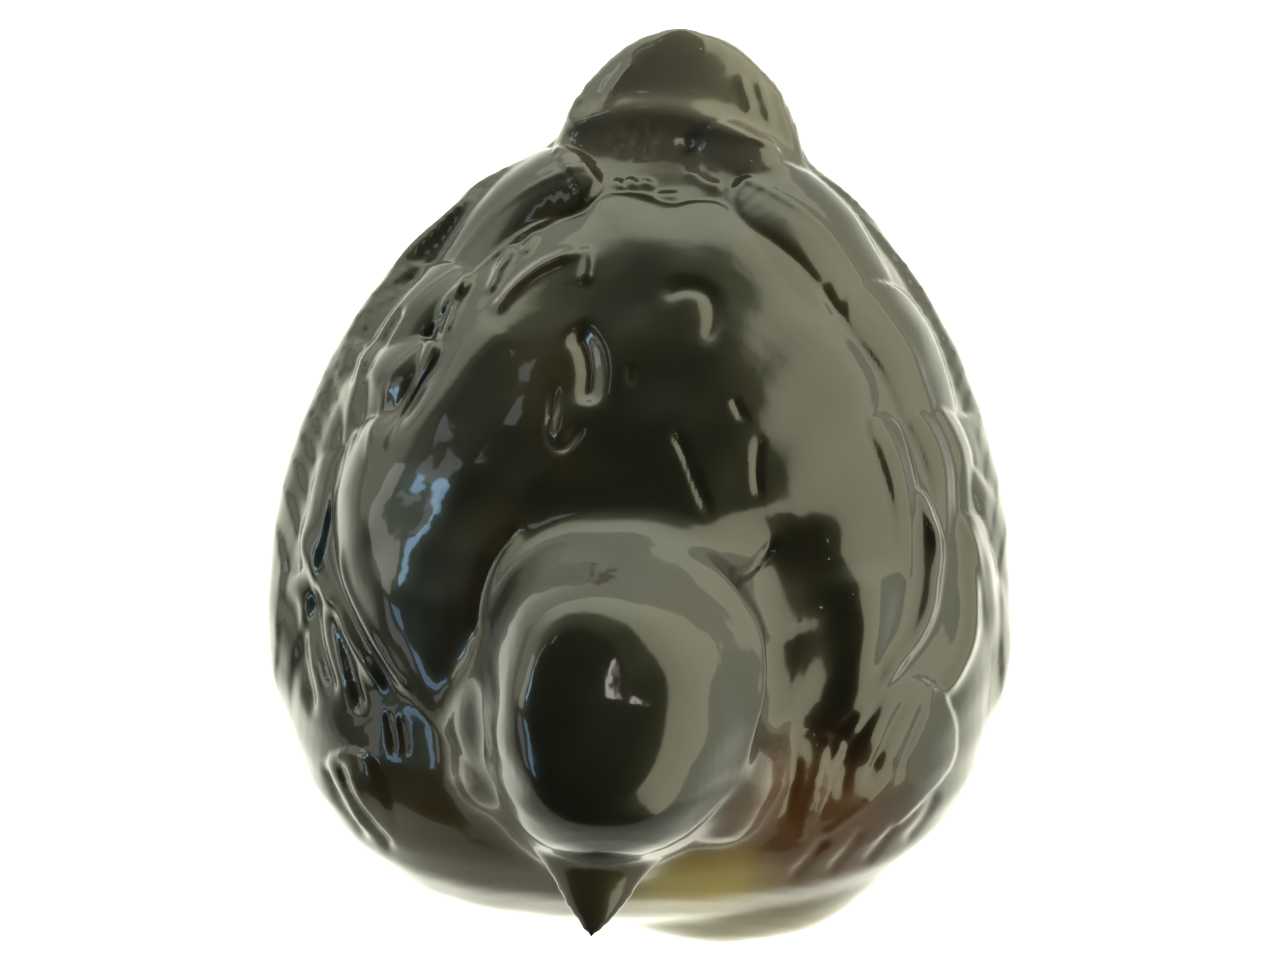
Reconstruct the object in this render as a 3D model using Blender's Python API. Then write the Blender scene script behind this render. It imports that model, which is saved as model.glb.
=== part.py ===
"""Glazed porcelain songbird figurine, cast in one piece.

Metres, +Z up. The bird stands on its flat foot at z = 0, with the beak towards -Y and the tail towards +Y.
Sizes below are in millimetres, from the middle of the bird seen from above. The finished bird is then moved so
that the origin is the middle of its foot, under its widest place.
"""

import math
from collections import namedtuple

import bmesh
import bpy
import numpy as np
from mathutils import Euler, Matrix, Vector

MM = 0.001

# Body: an egg that is widest ahead of the middle
HALF_WIDTH = 34.0
WIDEST_Y = -11.5
BREAST_REACH = 30.3
RUMP_REACH = 46.5
WAIST_HEIGHT = 24.0
BACK_RISE = 23.5
BELLY_DROP = 26.5
RUMP_LIFT = 8.0
RUMP_SHIFT = 2.6
BREAST_SQUARENESS = 2.6
SECTION_SQUARENESS = 2.25
LEFT_BACK_SQUARENESS = 2.4
RIGHT_BACK_SQUARENESS = 2.0
RUMP_TAPER = 0.62
BACK_TAPER = 0.95

# Head: a crown over two cheeks and a throat, turned a little to the bird's right
CROWN_CENTRE = (-3.9, -25.2, 37.4)
CROWN_RADII = (11.6, 12.4, 21.2)
CROWN_FRONT_REACH = 1.1
CROWN_TAPER = 0.13
CROWN_OUTLINE = 2.4
CROWN_STEEP_SQUARENESS = 5.6
CROWN_EASY_SQUARENESS = 2.9
CROWN_SKIRT = 2.6
CROWN_SKIRT_LEVEL = 0.45
CROWN_ROLL = 7.0
HEAD_TURN = 10.0
CHEEK_RADII = (5.3, 8.8, 7.2)
LEFT_CHEEK_CENTRE = (-12.6, -25.4, 41.6)
RIGHT_CHEEK_CENTRE = (8.5, -28.4, 41.6)
RIGHT_CHEEK_TURN = 16.0
THROAT_CENTRE = (-2.2, -31.5, 36.0)
THROAT_RADII = (9.4, 8.0, 9.0)
EYE_RADIUS = 1.9
LEFT_EYE_CENTRE = (-12.6, -30.6, 46.0)
RIGHT_EYE_CENTRE = (6.6, -33.4, 46.0)

# Line round the neck, as laid out from above, where the head flows into the back
NECK_LINE = [
    (-12.5, -12.0), (-10.5, -7.0), (-5.0, -5.0), (3.0, -4.5), (9.5, -6.5), (12.0, -10.5), (12.0, -16.0),
    (10.5, -22.0), (8.5, -28.0),
]
NECK_SOFTNESS = 4.0
NECK_LOWEST = 40.0

# Beak: a short cone with a ridge along its top
BEAK_ROOT = (-3.6, -35.0, 43.5)
BEAK_TIP = (-4.3, -45.8, 42.6)
BEAK_HALF_WIDTH = 7.4
BEAK_HALF_HEIGHT = 5.0
BEAK_TAPER = 0.92
BEAK_SQUARENESS = 1.75

# Breast: fuller on its left side
BREAST_CENTRE = (8.0, -27.0, 20.0)
BREAST_RADII = (19.0, 16.4, 15.0)

# Tail: a short blade with a round end
TAIL_ROOT = (3.8, 22.0, 27.5)
TAIL_END_Y = 41.0
TAIL_END_HEIGHT = 35.5
TAIL_HALF_WIDTH = 12.4
TAIL_THICKNESS = 5.6
TAIL_ROUNDING = 14.0
TAIL_CROWN = 1.6
TAIL_SQUARENESS = 2.3

# Feathers are laid out as seen from above and a little from the front: across, and along towards the tail
LAYOUT_LEVEL = 25.0
LAYOUT_LEAN = math.radians(10.0)
LAYOUT_DISTANCE = 600.0
FEATHER_EDGE = 0.4
WOBBLE = 0.035
FEATHER_CROWN = 0.6
FEATHER_INNER_CROWN = 1.0
FEATHER_TOP_WAY = 0.66
FEATHER_TIP_SHARE = 0.45
SHAFT_WIDTH = 0.35
SHAFT_HEIGHT = 0.10
FACING_LEAST = 0.05
FACING_FULL = 0.32
CARVED_UP_TO = 48.0
CARVING_FADE = 2.0
BED_WIDTH = 11.0
ROLLED_SHARE = 0.75

Feather = namedtuple("Feather", "root tip bow half_width lift")
Stroke = namedtuple("Stroke", "points half_width height")
Edge = namedtuple("Edge", "across along drop roll")

# The mantle: its outline, with how far its edge drops to the wing feathers and how wide that edge is rolled
MANTLE_OUTLINE = [
    Edge(-5.2, 25.4, 1.0, 5.0), Edge(-3.6, 26.9, 0.9, 4.5), Edge(-0.3, 27.2, 0.9, 4.8),
    Edge(2.8, 26.2, 0.9, 4.8), Edge(5.5, 26.5, 0.9, 4.8), Edge(8.2, 26.0, 0.8, 4.5),
    Edge(10.6, 22.2, 0.4, 3.5), Edge(14.2, 17.6, 0.25, 2.5), Edge(17.2, 15.2, 0.25, 2.5),
    Edge(20.4, 12.6, 0.35, 2.5), Edge(22.2, 8.6, 0.4, 2.5), Edge(22.4, 5.6, 0.4, 2.5),
    Edge(24.6, 2.4, 0.5, 2.5), Edge(25.6, -3.5, 0.5, 2.5), Edge(24.8, -9.5, 0.5, 2.5),
    Edge(22.5, -15.5, 0.5, 2.5), Edge(20.0, -21.5, 0.5, 2.5), Edge(8.0, -30.0, 0.3, 3.0),
    Edge(-12.0, -29.0, 0.3, 3.0), Edge(-20.5, -21.8, 1.0, 3.5), Edge(-24.6, -17.5, 1.6, 4.0),
    Edge(-28.6, -10.5, 1.9, 4.5), Edge(-30.0, -4.0, 2.0, 4.6), Edge(-29.2, 2.0, 2.0, 4.2),
    Edge(-26.6, 5.8, 1.9, 3.6), Edge(-23.6, 6.4, 1.9, 3.0), Edge(-21.4, 9.4, 2.0, 3.6),
    Edge(-20.2, 14.0, 2.1, 6.5), Edge(-18.4, 18.2, 2.3, 9.0), Edge(-14.2, 22.0, 2.3, 9.0),
    Edge(-9.4, 24.8, 1.8, 7.5),
]

LEFT_WING = [
    Feather((-21.5, 17.5), (-4.2, 29.8), 2.3, 3.6, 1.9),
    Feather((-26.5, 8.0), (-17.2, 21.3), 1.4, 2.8, 1.7),
    Feather((-29.8, 1.0), (-24.4, 13.8), 1.0, 2.1, 1.4),
    Feather((-32.0, -4.0), (-28.6, 8.8), 0.8, 1.5, 1.0),
    Feather((-25.8, 2.0), (-20.2, 14.2), 1.5, 2.9, 1.9),
    Feather((-33.0, -13.0), (-30.2, 4.8), 0.6, 1.8, 1.1),
    Feather((-33.8, -23.0), (-33.1, -8.4), 0.4, 1.4, 0.8),
    Feather((-24.5, -35.0), (-28.8, -25.4), -0.8, 2.4, 0.8),
]
RIGHT_WING = [
    Feather((23.5, 13.0), (9.4, 28.9), -2.1, 3.9, 1.4),
    Feather((28.5, 1.0), (20.3, 18.6), -1.7, 3.4, 1.3),
    Feather((25.5, -9.0), (22.4, 6.5), -1.0, 1.9, 0.9),
    Feather((29.0, -5.0), (26.0, 6.6), -1.0, 1.7, 1.1),
    Feather((31.0, -5.0), (27.9, 7.0), -0.9, 1.5, 1.0),
    Feather((28.0, -9.0), (26.0, -0.8), -0.6, 1.1, 0.8),
    Feather((34.0, -8.0), (30.5, 6.4), -0.7, 1.6, 0.9),
    Feather((34.3, -11.0), (30.9, 1.6), -0.8, 1.4, 0.9),
    Feather((33.5, -17.0), (30.8, -2.8), -0.6, 1.4, 0.9),
    Feather((17.0, -34.0), (27.6, -19.0), -1.6, 4.8, 1.3),
    Feather((15.3, -34.0), (18.6, -24.0), 0.6, 2.0, 0.9),
]
RUMP = [
    Feather((14.0, 27.5), (5.6, 33.0), -0.8, 2.2, 1.0),
]
RUMP_HOLLOW_CENTRE = (2.0, 30.6)
RUMP_HOLLOW_HALF = (7.0, 3.8)
RUMP_HOLLOW_DEPTH = 0.2
RUMP_HOLLOW_EDGE = (0.6, 1.1)
STROKES = [
    Stroke([(-29.4, -5.0), (-28.5, -10.0), (-26.0, -14.5), (-24.0, -18.0), (-21.8, -20.7)], 0.5, 0.35),
    Stroke([(-32.7, -3.0), (-31.8, -8.5), (-29.6, -13.0), (-27.0, -17.0), (-24.6, -20.5)], 0.7, 0.7),
    Stroke([(26.0, -2.0), (27.5, -6.0), (27.5, -11.0), (26.3, -14.5), (24.0, -17.5), (21.5, -21.2)], 0.8, 0.7),
    Stroke([(30.3, -3.0), (31.2, -8.0), (31.3, -14.0), (30.0, -18.0), (28.0, -21.0)], 0.6, 0.6),
    Stroke([(-9.0, 31.8), (-4.0, 34.0), (0.5, 34.8), (5.0, 34.4), (10.0, 32.2), (15.5, 29.2)], 0.6, 0.5),
    Stroke([(17.2, 19.0), (18.0, 17.2), (19.0, 15.4)], 0.6, -0.8),
    Stroke([(-11.0, -4.0), (-13.6, -7.0), (-15.2, -11.0), (-15.4, -16.0)], 0.6, -0.5),
    Stroke([(9.5, -8.2), (11.5, -7.2), (13.8, -5.0)], 0.5, -0.5),
    Stroke([(13.5, -2.0), (15.0, -8.0), (15.8, -14.0), (16.6, -20.0), (15.5, -28.0)], 3.6, -1.7),
    Stroke([(-6.6, 14.4), (-5.2, 12.6), (-4.7, 10.0), (-5.2, 6.8)], 1.1, -0.5),
    Stroke([(1.6, 17.0), (4.0, 18.2), (6.4, 17.6), (7.0, 15.0), (6.0, 12.4)], 0.8, -0.3),
    Stroke([(-14.0, 15.6), (-12.4, 18.0), (-9.6, 20.2), (-5.2, 21.8)], 0.6, 0.45),
    Stroke([(-5.2, 22.2), (-4.9, 20.4), (-5.4, 18.4)], 0.5, 0.35),
    Stroke([(-32.6, -9.5), (-31.6, -15.0), (-29.4, -21.0)], 0.5, -0.6),
    Stroke([(-30.6, -11.0), (-28.8, -17.0), (-26.8, -22.5)], 0.5, -0.6),
    Stroke([(18.0, -33.4), (16.2, -35.6), (14.0, -38.0)], 0.5, -0.6),
    Stroke([(4.2, 32.8), (4.8, 31.4)], 0.9, -0.9),
]

# Wing seen from the side: its lower edge stands proud of the flank, and the long feathers run along it
WING_FRONT_Y = -24.0
WING_REAR_Y = 33.0
WING_EDGE_FRONT_Z = 23.0
WING_EDGE_DIP = 11.0
WING_EDGE_REAR_Z = 30.0
WING_PROUD = 1.0
WING_TOP_Z = 44.0
WING_END_Y = 26.0
WING_END_FADE = 5.0
WING_EDGE_SOFTNESS = 1.8
FLIGHT_FEATHER_GAP = 3.4
FLIGHT_FEATHER_ROWS = (1, 2, 3)
FLIGHT_GROOVE_DEPTH = 0.4
FLIGHT_GROOVE_WIDTH = 0.9

# Mesh resolution
VOXEL = 0.64
HEAD_STEPS = 5
BLEND_STEPS = 6
NECK_STEPS = 50
SEAM_STEPS = 3
WORN_STEPS = 2
MOST_TRIANGLES = 11600

GLAZE_COLOUR = (0.035, 0.034, 0.024, 1.0)
GLAZE_ROUGHNESS = 0.12


def clear_scene():
    for obj in list(bpy.data.objects):
        bpy.data.objects.remove(obj, do_unlink=True)


def link_mesh(name, bm):
    mesh = bpy.data.meshes.new(name)
    bmesh.ops.recalc_face_normals(bm, faces=bm.faces)
    bm.to_mesh(mesh)
    bm.free()
    obj = bpy.data.objects.new(name, mesh)
    bpy.context.scene.collection.objects.link(obj)
    return obj


def boulder(name, centre, radii, turn=0.0, roll=0.0, shape=None):
    """A closed ellipsoid, or what the shape function makes of a unit ball; turn and roll are in degrees."""
    bm = bmesh.new()
    bmesh.ops.create_uvsphere(bm, u_segments=64, v_segments=40, radius=1.0)
    for vert in bm.verts:
        vert.co = shape(vert.co) if shape else vert.co
    angles = Euler((0.0, math.radians(roll), math.radians(turn)))
    bmesh.ops.transform(bm, matrix=Matrix.Diagonal((*radii, 1.0)), verts=bm.verts)
    bmesh.ops.transform(bm, matrix=angles.to_matrix().to_4x4(), verts=bm.verts)
    bmesh.ops.translate(bm, vec=Vector(centre), verts=bm.verts)
    bmesh.ops.scale(bm, vec=(MM, MM, MM), verts=bm.verts)
    return link_mesh(name, bm)


def crown_shape(place):
    """Steep and nearly square on the bird's right and in front, easy and spreading downwards on its left and
    behind, and narrower in front than behind."""
    x, y, z = place
    easy = 0.5 + 0.5 * (x + y) / max(math.hypot(x, y) * math.sqrt(2.0), 1e-9)
    squareness = CROWN_STEEP_SQUARENESS + (CROWN_EASY_SQUARENESS - CROWN_STEEP_SQUARENESS) * easy
    reach = (abs(x) ** CROWN_OUTLINE + abs(y) ** CROWN_OUTLINE) ** (1.0 / CROWN_OUTLINE)
    place = place / (reach**squareness + abs(z) ** squareness) ** (1.0 / squareness)
    spread = 1.0 + CROWN_SKIRT * easy**2 * (1.0 - max(CROWN_SKIRT_LEVEL, place.z)) ** 2
    length = CROWN_FRONT_REACH if place.y < 0.0 else spread
    return Vector((place.x * spread * (1.0 + CROWN_TAPER * place.y), place.y * length, place.z))


def loft(name, rings, start, end):
    """A closed skin through rings of equal length, with a point at each end."""
    bm = bmesh.new()
    rows = [[bm.verts.new(Vector(p) * MM) for p in ring] for ring in rings]
    count = len(rows[0])
    for row, following in zip(rows, rows[1:]):
        for i in range(count):
            j = (i + 1) % count
            bm.faces.new((row[i], row[j], following[j], following[i]))
    for row, point in ((rows[0], start), (rows[-1], end)):
        pole = bm.verts.new(Vector(point) * MM)
        for i in range(count):
            bm.faces.new((row[i], row[(i + 1) % count], pole))
    return link_mesh(name, bm)


def superellipse(angle, squareness):
    """(x, y) on a unit superellipse."""
    power = 2.0 / squareness
    x, y = math.cos(angle), math.sin(angle)
    return math.copysign(abs(x) ** power, x), math.copysign(abs(y) ** power, y)


def body_share(y, rear_taper):
    """How much of its greatest size the body has at y, from 1 at the widest place to 0 at either end."""
    if y < WIDEST_Y:
        way = (WIDEST_Y - y) / BREAST_REACH
        return (1.0 - way**BREAST_SQUARENESS) ** (1.0 / BREAST_SQUARENESS)
    way = (y - WIDEST_Y) / RUMP_REACH
    return (1.0 - way * way) ** rear_taper


def body_waist(y):
    """(x, z) of the middle of the body's section at y; the rump rises and swings to the bird's left."""
    way = max(0.0, (y - WIDEST_Y) / RUMP_REACH)
    return RUMP_SHIFT * way * way, WAIST_HEIGHT + RUMP_LIFT * way * way


def make_body():
    stations, ring_points = 72, 96
    front, rear = WIDEST_Y - BREAST_REACH, WIDEST_Y + RUMP_REACH
    rings = []
    for i in range(1, stations):
        y = front + (rear - front) * (1.0 - math.cos(math.pi * i / stations)) / 2.0
        x0, z0 = body_waist(y)
        half_width = HALF_WIDTH * body_share(y, RUMP_TAPER)
        rise = BACK_RISE * body_share(y, BACK_TAPER)
        drop = BELLY_DROP * body_share(y, RUMP_TAPER)
        ring = []
        for k in range(ring_points):
            angle = 2.0 * math.pi * k / ring_points
            if angle > math.pi:
                across, up = superellipse(angle, SECTION_SQUARENESS)
            elif angle > math.pi / 2.0:
                across, up = superellipse(angle, LEFT_BACK_SQUARENESS)
            else:
                across, up = superellipse(angle, RIGHT_BACK_SQUARENESS)
            ring.append((x0 + half_width * across, y, z0 + up * (rise if up > 0 else drop)))
        rings.append(ring)
    ends = [(body_waist(y)[0], y, body_waist(y)[1]) for y in (front, rear)]
    return loft("body", rings, *ends)


def make_tail():
    stations, ring_points = 28, 48
    x0, root_y, root_z = TAIL_ROOT
    rings = []
    for i in range(stations):
        way = i / stations
        y = root_y + (TAIL_END_Y - root_y) * math.sin(way * math.pi / 2.0)
        z = root_z + (TAIL_END_HEIGHT - root_z) * (y - root_y) / (TAIL_END_Y - root_y)
        inset = max(0.0, y - (TAIL_END_Y - TAIL_ROUNDING)) / TAIL_ROUNDING
        share = math.sqrt(max(0.0, 1.0 - inset * inset))
        half_width = TAIL_HALF_WIDTH * share
        half_thickness = TAIL_THICKNESS / 2.0 * (0.35 + 0.65 * share)
        ring = []
        for k in range(ring_points):
            across, up = superellipse(2.0 * math.pi * k / ring_points, TAIL_SQUARENESS)
            crown = TAIL_CROWN * (1.0 - across * across)
            ring.append((x0 + half_width * across, y, z + half_thickness * up + crown))
        rings.append(ring)
    return loft("tail", rings, (x0, root_y - 1.0, root_z), (x0, TAIL_END_Y, TAIL_END_HEIGHT + TAIL_CROWN))


def make_beak():
    stations, ring_points = 24, 40
    root, tip = Vector(BEAK_ROOT), Vector(BEAK_TIP)
    along = tip - root
    across_axis = along.cross(Vector((0.0, 0.0, 1.0))).normalized()
    up_axis = across_axis.cross(along).normalized()
    rings = []
    for i in range(stations):
        way = i / stations
        share = (1.0 - way) ** BEAK_TAPER
        centre = root + along * way
        ring = []
        for k in range(ring_points):
            across, up = superellipse(2.0 * math.pi * k / ring_points, BEAK_SQUARENESS)
            ring.append(centre + across_axis * across * BEAK_HALF_WIDTH * share
                        + up_axis * up * BEAK_HALF_HEIGHT * share)
        rings.append(ring)
    return loft("beak", rings, root - along * 0.1, tip)


def make_head_masses():
    return [
        boulder("crown", CROWN_CENTRE, CROWN_RADII, -HEAD_TURN, CROWN_ROLL, crown_shape),
        boulder("throat", THROAT_CENTRE, THROAT_RADII, -HEAD_TURN),
        boulder("left_cheek", LEFT_CHEEK_CENTRE, CHEEK_RADII, -HEAD_TURN),
        boulder("right_cheek", RIGHT_CHEEK_CENTRE, CHEEK_RADII, -RIGHT_CHEEK_TURN),
    ]


def make_soft_masses():
    return [
        make_body(),
        make_tail(),
        boulder("breast", BREAST_CENTRE, BREAST_RADII),
    ]


def make_sharp_masses():
    return [
        make_beak(),
        boulder("left_eye", LEFT_EYE_CENTRE, (EYE_RADIUS,) * 3),
        boulder("right_eye", RIGHT_EYE_CENTRE, (EYE_RADIUS,) * 3),
    ]


def join(name, pieces):
    """One object from all the pieces, still as overlapping skins."""
    bm = bmesh.new()
    for piece in pieces:
        bm.from_mesh(piece.data)
        bpy.data.objects.remove(piece, do_unlink=True)
    mesh = bpy.data.meshes.new(name)
    bm.to_mesh(mesh)
    bm.free()
    obj = bpy.data.objects.new(name, mesh)
    bpy.context.scene.collection.objects.link(obj)
    return obj


def soften(obj, steps, shares=None):
    """Wears the edges down, everywhere or by the share given for each point, and applies the modifiers."""
    smooth = obj.modifiers.new("soften", "SMOOTH")
    smooth.factor = 0.5
    smooth.iterations = steps
    if shares is not None:
        group = obj.vertex_groups.new(name="softened")
        for index in np.flatnonzero(shares > 0.02):
            group.add([int(index)], float(shares[index]), "REPLACE")
        smooth.vertex_group = group.name
    graph = bpy.context.evaluated_depsgraph_get()
    mesh = bpy.data.meshes.new_from_object(obj.evaluated_get(graph))
    obj.modifiers.clear()
    obj.vertex_groups.clear()
    obj.data = mesh


def fuse(obj, steps):
    """Makes one skin of the overlapping ones and softens the joints between them."""
    remesh = obj.modifiers.new("fuse", "REMESH")
    remesh.mode = "VOXEL"
    remesh.voxel_size = VOXEL * MM
    remesh.adaptivity = 0.0
    soften(obj, steps)


def read_places(obj, kind):
    """The points' places ("co") or normals ("normal") as rows."""
    values = np.empty(len(obj.data.vertices) * 3)
    obj.data.vertices.foreach_get(kind, values)
    return values.reshape(-1, 3)


def smoothstep(value, low, high):
    way = np.clip((value - low) / (high - low), 0.0, 1.0)
    return way * way * (3.0 - 2.0 * way)


def layout_place(points):
    """(across, along) of points in millimetres on the layout plane."""
    up = points[:, 2] - LAYOUT_LEVEL
    height = up * math.cos(LAYOUT_LEAN) - points[:, 1] * math.sin(LAYOUT_LEAN)
    size = 1.0 / (1.0 - height / LAYOUT_DISTANCE)
    along = points[:, 1] * math.cos(LAYOUT_LEAN) + up * math.sin(LAYOUT_LEAN)
    return points[:, 0] * size, along * size


def smooth_line(points, steps=8, closed=False):
    """More points on a smooth curve through the given ones."""
    points = [np.array(p) for p in points]
    if closed:
        padded = [points[-1], *points, points[0], points[1]]
    else:
        padded = [2 * points[0] - points[1], *points, 2 * points[-1] - points[-2]]
    line = []
    for a, b, c, d in zip(padded, padded[1:], padded[2:], padded[3:]):
        for k in range(steps):
            t = k / steps
            line.append(0.5 * (2 * b + (c - a) * t + (2 * a - 5 * b + 4 * c - d) * t**2
                               + (3 * b - a - 3 * c + d) * t**3))
    return np.array([*line, points[0] if closed else points[-1]])


def nearest_on_line(line, across, along):
    """Distance to the line, and how far along it the nearest place is, in steps of its points."""
    best = np.full(len(across), np.inf)
    where = np.zeros(len(across))
    for k, (start, end) in enumerate(zip(line, line[1:])):
        step = end[:2] - start[:2]
        rel_x, rel_y = across - start[0], along - start[1]
        way = np.clip((rel_x * step[0] + rel_y * step[1]) / (step @ step), 0.0, 1.0)
        distance = np.hypot(rel_x - way * step[0], rel_y - way * step[1])
        closer = distance < best
        best[closer] = distance[closer]
        where[closer] = k + way[closer]
    return best, where


def inside_line(line, across, along):
    """True for the places inside a closed line."""
    inside = np.zeros(len(across), dtype=bool)
    for start, end in zip(line, line[1:]):
        if start[1] == end[1]:
            continue
        spans = (start[1] > along) != (end[1] > along)
        crossing = start[0] + (along - start[1]) * (end[0] - start[0]) / (end[1] - start[1])
        inside ^= spans & (across < crossing)
    return inside


def neck_share(obj):
    """1 on the line round the neck, falling to 0 away from it, for each point of the skin."""
    points = read_places(obj, "co") / MM
    distance, _ = nearest_on_line(smooth_line(NECK_LINE), *layout_place(points))
    return np.exp(-((distance / NECK_SOFTNESS) ** 2)) * (points[:, 2] > NECK_LOWEST)


def mantle_height(across, along):
    """The mantle rolls down to its edge; past the edge lies the bed of the wing feathers."""
    line = smooth_line(MANTLE_OUTLINE, 5, closed=True)
    distance, where = nearest_on_line(line, across, along)
    drop = np.interp(where, np.arange(len(line)), line[:, 2])
    roll = np.interp(where, np.arange(len(line)), line[:, 3])
    inside = inside_line(line, across, along)
    rolled = -drop * ROLLED_SHARE * np.clip(1.0 - distance / roll, 0.0, 1.0) ** 2
    bed = -drop * (1.0 - smoothstep(distance, 1.0, BED_WIDTH))
    bed += drop * (1.0 - ROLLED_SHARE) * (1.0 - smoothstep(distance, 0.0, FEATHER_EDGE))
    return np.where(inside, rolled, bed)


def feather_height(feather, across, along):
    """How far one feather stands out: nothing at its root, most before its round tip, and a crisp edge."""
    root, tip = np.array(feather.root), np.array(feather.tip)
    length = np.linalg.norm(tip - root)
    axis = (tip - root) / length
    rel_x, rel_y = across - root[0], along - root[1]
    way = (rel_x * axis[0] + rel_y * axis[1]) / length
    side = axis[0] * rel_y - axis[1] * rel_x - feather.bow * 4.0 * way * (1.0 - way)
    rounding = min(0.6, 1.2 * feather.half_width / length)
    into_tip = np.clip((way - (1.0 - rounding)) / rounding, 0.0, 1.0)
    half_width = feather.half_width * np.where(
        into_tip > 0.0, np.sqrt(np.clip(1.0 - into_tip**2, 0.0, 1.0)), 0.7 + 0.3 * way / (1.0 - rounding))
    inside = np.minimum(half_width - np.abs(side), (1.0 - way) * length)
    edge = smoothstep(inside, 0.0, FEATHER_EDGE) * (way > 0.0) * (way < 1.0)
    outward = side * math.copysign(1.0, feather.bow)
    fall = np.where(outward > 0.0, FEATHER_CROWN, FEATHER_INNER_CROWN)
    crown = 1.0 - fall * np.clip(np.abs(side) / feather.half_width, 0.0, 1.0) ** 2
    shaft = SHAFT_HEIGHT * np.exp(-((side / SHAFT_WIDTH) ** 2))
    past_top = np.clip((way - FEATHER_TOP_WAY) / (1.0 - FEATHER_TOP_WAY), 0.0, 1.0)
    rise = smoothstep(way, 0.0, FEATHER_TOP_WAY) * (1.0 - (1.0 - FEATHER_TIP_SHARE) * past_top**2)
    return (feather.lift * rise * crown + shaft) * edge


def stroke_height(stroke, across, along):
    """A ridge, or a groove where the height is negative, that fades out at both ends."""
    line = smooth_line(stroke.points)
    low, high = line.min(axis=0) - 4 * stroke.half_width, line.max(axis=0) + 4 * stroke.half_width
    near = np.flatnonzero((across > low[0]) & (across < high[0]) & (along > low[1]) & (along < high[1]))
    result = np.zeros(len(across))
    distance, where = nearest_on_line(line, across[near], along[near])
    share = where / (len(line) - 1)
    fade = smoothstep(np.minimum(share, 1.0 - share), 0.0, 0.18)
    result[near] = stroke.height * fade * np.exp(-((distance / stroke.half_width) ** 2))
    return result


def rump_hollow(across, along):
    reach = np.hypot((across - RUMP_HOLLOW_CENTRE[0]) / RUMP_HOLLOW_HALF[0],
                     (along - RUMP_HOLLOW_CENTRE[1]) / RUMP_HOLLOW_HALF[1])
    return -RUMP_HOLLOW_DEPTH * (1.0 - smoothstep(reach, *RUMP_HOLLOW_EDGE))


def wing_side(points):
    """The wing's proud lower edge and the long feathers along it, on both sides."""
    way = np.clip((points[:, 1] - WING_FRONT_Y) / (WING_REAR_Y - WING_FRONT_Y), 0.0, 1.0)
    edge = (WING_EDGE_FRONT_Z + (WING_EDGE_REAR_Z - WING_EDGE_FRONT_Z) * way
            - WING_EDGE_DIP * np.sin(math.pi * way**0.8))
    above = points[:, 2] - edge
    before_end = 1.0 - smoothstep(points[:, 1], WING_END_Y, WING_END_Y + WING_END_FADE)
    height = WING_PROUD * smoothstep(above, 0.0, WING_EDGE_SOFTNESS) * smoothstep(way, 0.0, 0.1) * before_end
    rear = smoothstep(way, 0.30, 0.55) * before_end
    for k in FLIGHT_FEATHER_ROWS:
        offset = above - k * FLIGHT_FEATHER_GAP * (1.0 - 0.45 * way)
        height -= FLIGHT_GROOVE_DEPTH * rear * np.exp(-((offset / FLIGHT_GROOVE_WIDTH) ** 2))
    return height


def wobble(points):
    """The slight unevenness of a shape that was pressed and sponged by hand."""
    x, y, z = points.T
    waves = (np.sin(0.61 * x + 0.35 * y + 0.3) + np.sin(0.52 * y - 0.41 * z + 1.7)
             + np.sin(0.83 * x - 0.57 * y + 0.2 * z + 4.1) + np.sin(1.07 * y + 0.9 * z + 2.2))
    return WOBBLE * waves


def relief_height(points, normals):
    """How far the carved feathers move each point along its normal, in millimetres."""
    across, along = layout_place(points)
    height = np.zeros(len(points))
    for feather in LEFT_WING + RIGHT_WING + RUMP:
        height = np.maximum(height, feather_height(feather, across, along))
    head = smoothstep(points[:, 2], CARVED_UP_TO, CARVED_UP_TO + CARVING_FADE)
    height += mantle_height(across, along)
    for stroke in STROKES:
        height += stroke_height(stroke, across, along)
    height += rump_hollow(across, along)
    facing = normals[:, 2] * math.cos(LAYOUT_LEAN) - normals[:, 1] * math.sin(LAYOUT_LEAN)
    seen = smoothstep(facing, FACING_LEAST, FACING_FULL) * (1.0 - head)
    on_side = smoothstep(np.abs(normals[:, 0]), 0.25, 0.5) * (1.0 - smoothstep(facing, 0.1, 0.35))
    on_body = points[:, 2] < WING_TOP_Z
    return height * seen + wing_side(points) * on_side * on_body + wobble(points)


def carve(obj):
    """Moves the skin's points by the relief."""
    points, normals = read_places(obj, "co"), read_places(obj, "normal")
    points += normals * relief_height(points / MM, normals)[:, None] * MM
    obj.data.vertices.foreach_set("co", points.ravel())
    obj.data.update()


def cut_foot(obj):
    """Cuts the flat foot at z = 0 and moves the middle of the foot to the origin."""
    bm = bmesh.new()
    bm.from_mesh(obj.data)
    cut = bmesh.ops.bisect_plane(bm, geom=bm.verts[:] + bm.edges[:] + bm.faces[:], dist=1e-7,
                                 plane_co=(0, 0, 0), plane_no=(0, 0, -1), clear_outer=True)
    edges = [e for e in cut["geom_cut"] if isinstance(e, bmesh.types.BMEdge)]
    bmesh.ops.edgeloop_fill(bm, edges=edges)
    bmesh.ops.triangulate(bm, faces=bm.faces)
    bmesh.ops.translate(bm, vec=(0.0, -WIDEST_Y * MM, 0.0), verts=bm.verts)
    bm.to_mesh(obj.data)
    bm.free()


def reduce_mesh(obj):
    """Brings the mesh down to MOST_TRIANGLES, with more of them where the surface bends."""
    reduce = obj.modifiers.new("reduce", "DECIMATE")
    reduce.ratio = MOST_TRIANGLES / (2.0 * len(obj.data.polygons))
    graph = bpy.context.evaluated_depsgraph_get()
    mesh = bpy.data.meshes.new_from_object(obj.evaluated_get(graph))
    obj.modifiers.clear()
    obj.data = mesh


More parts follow.
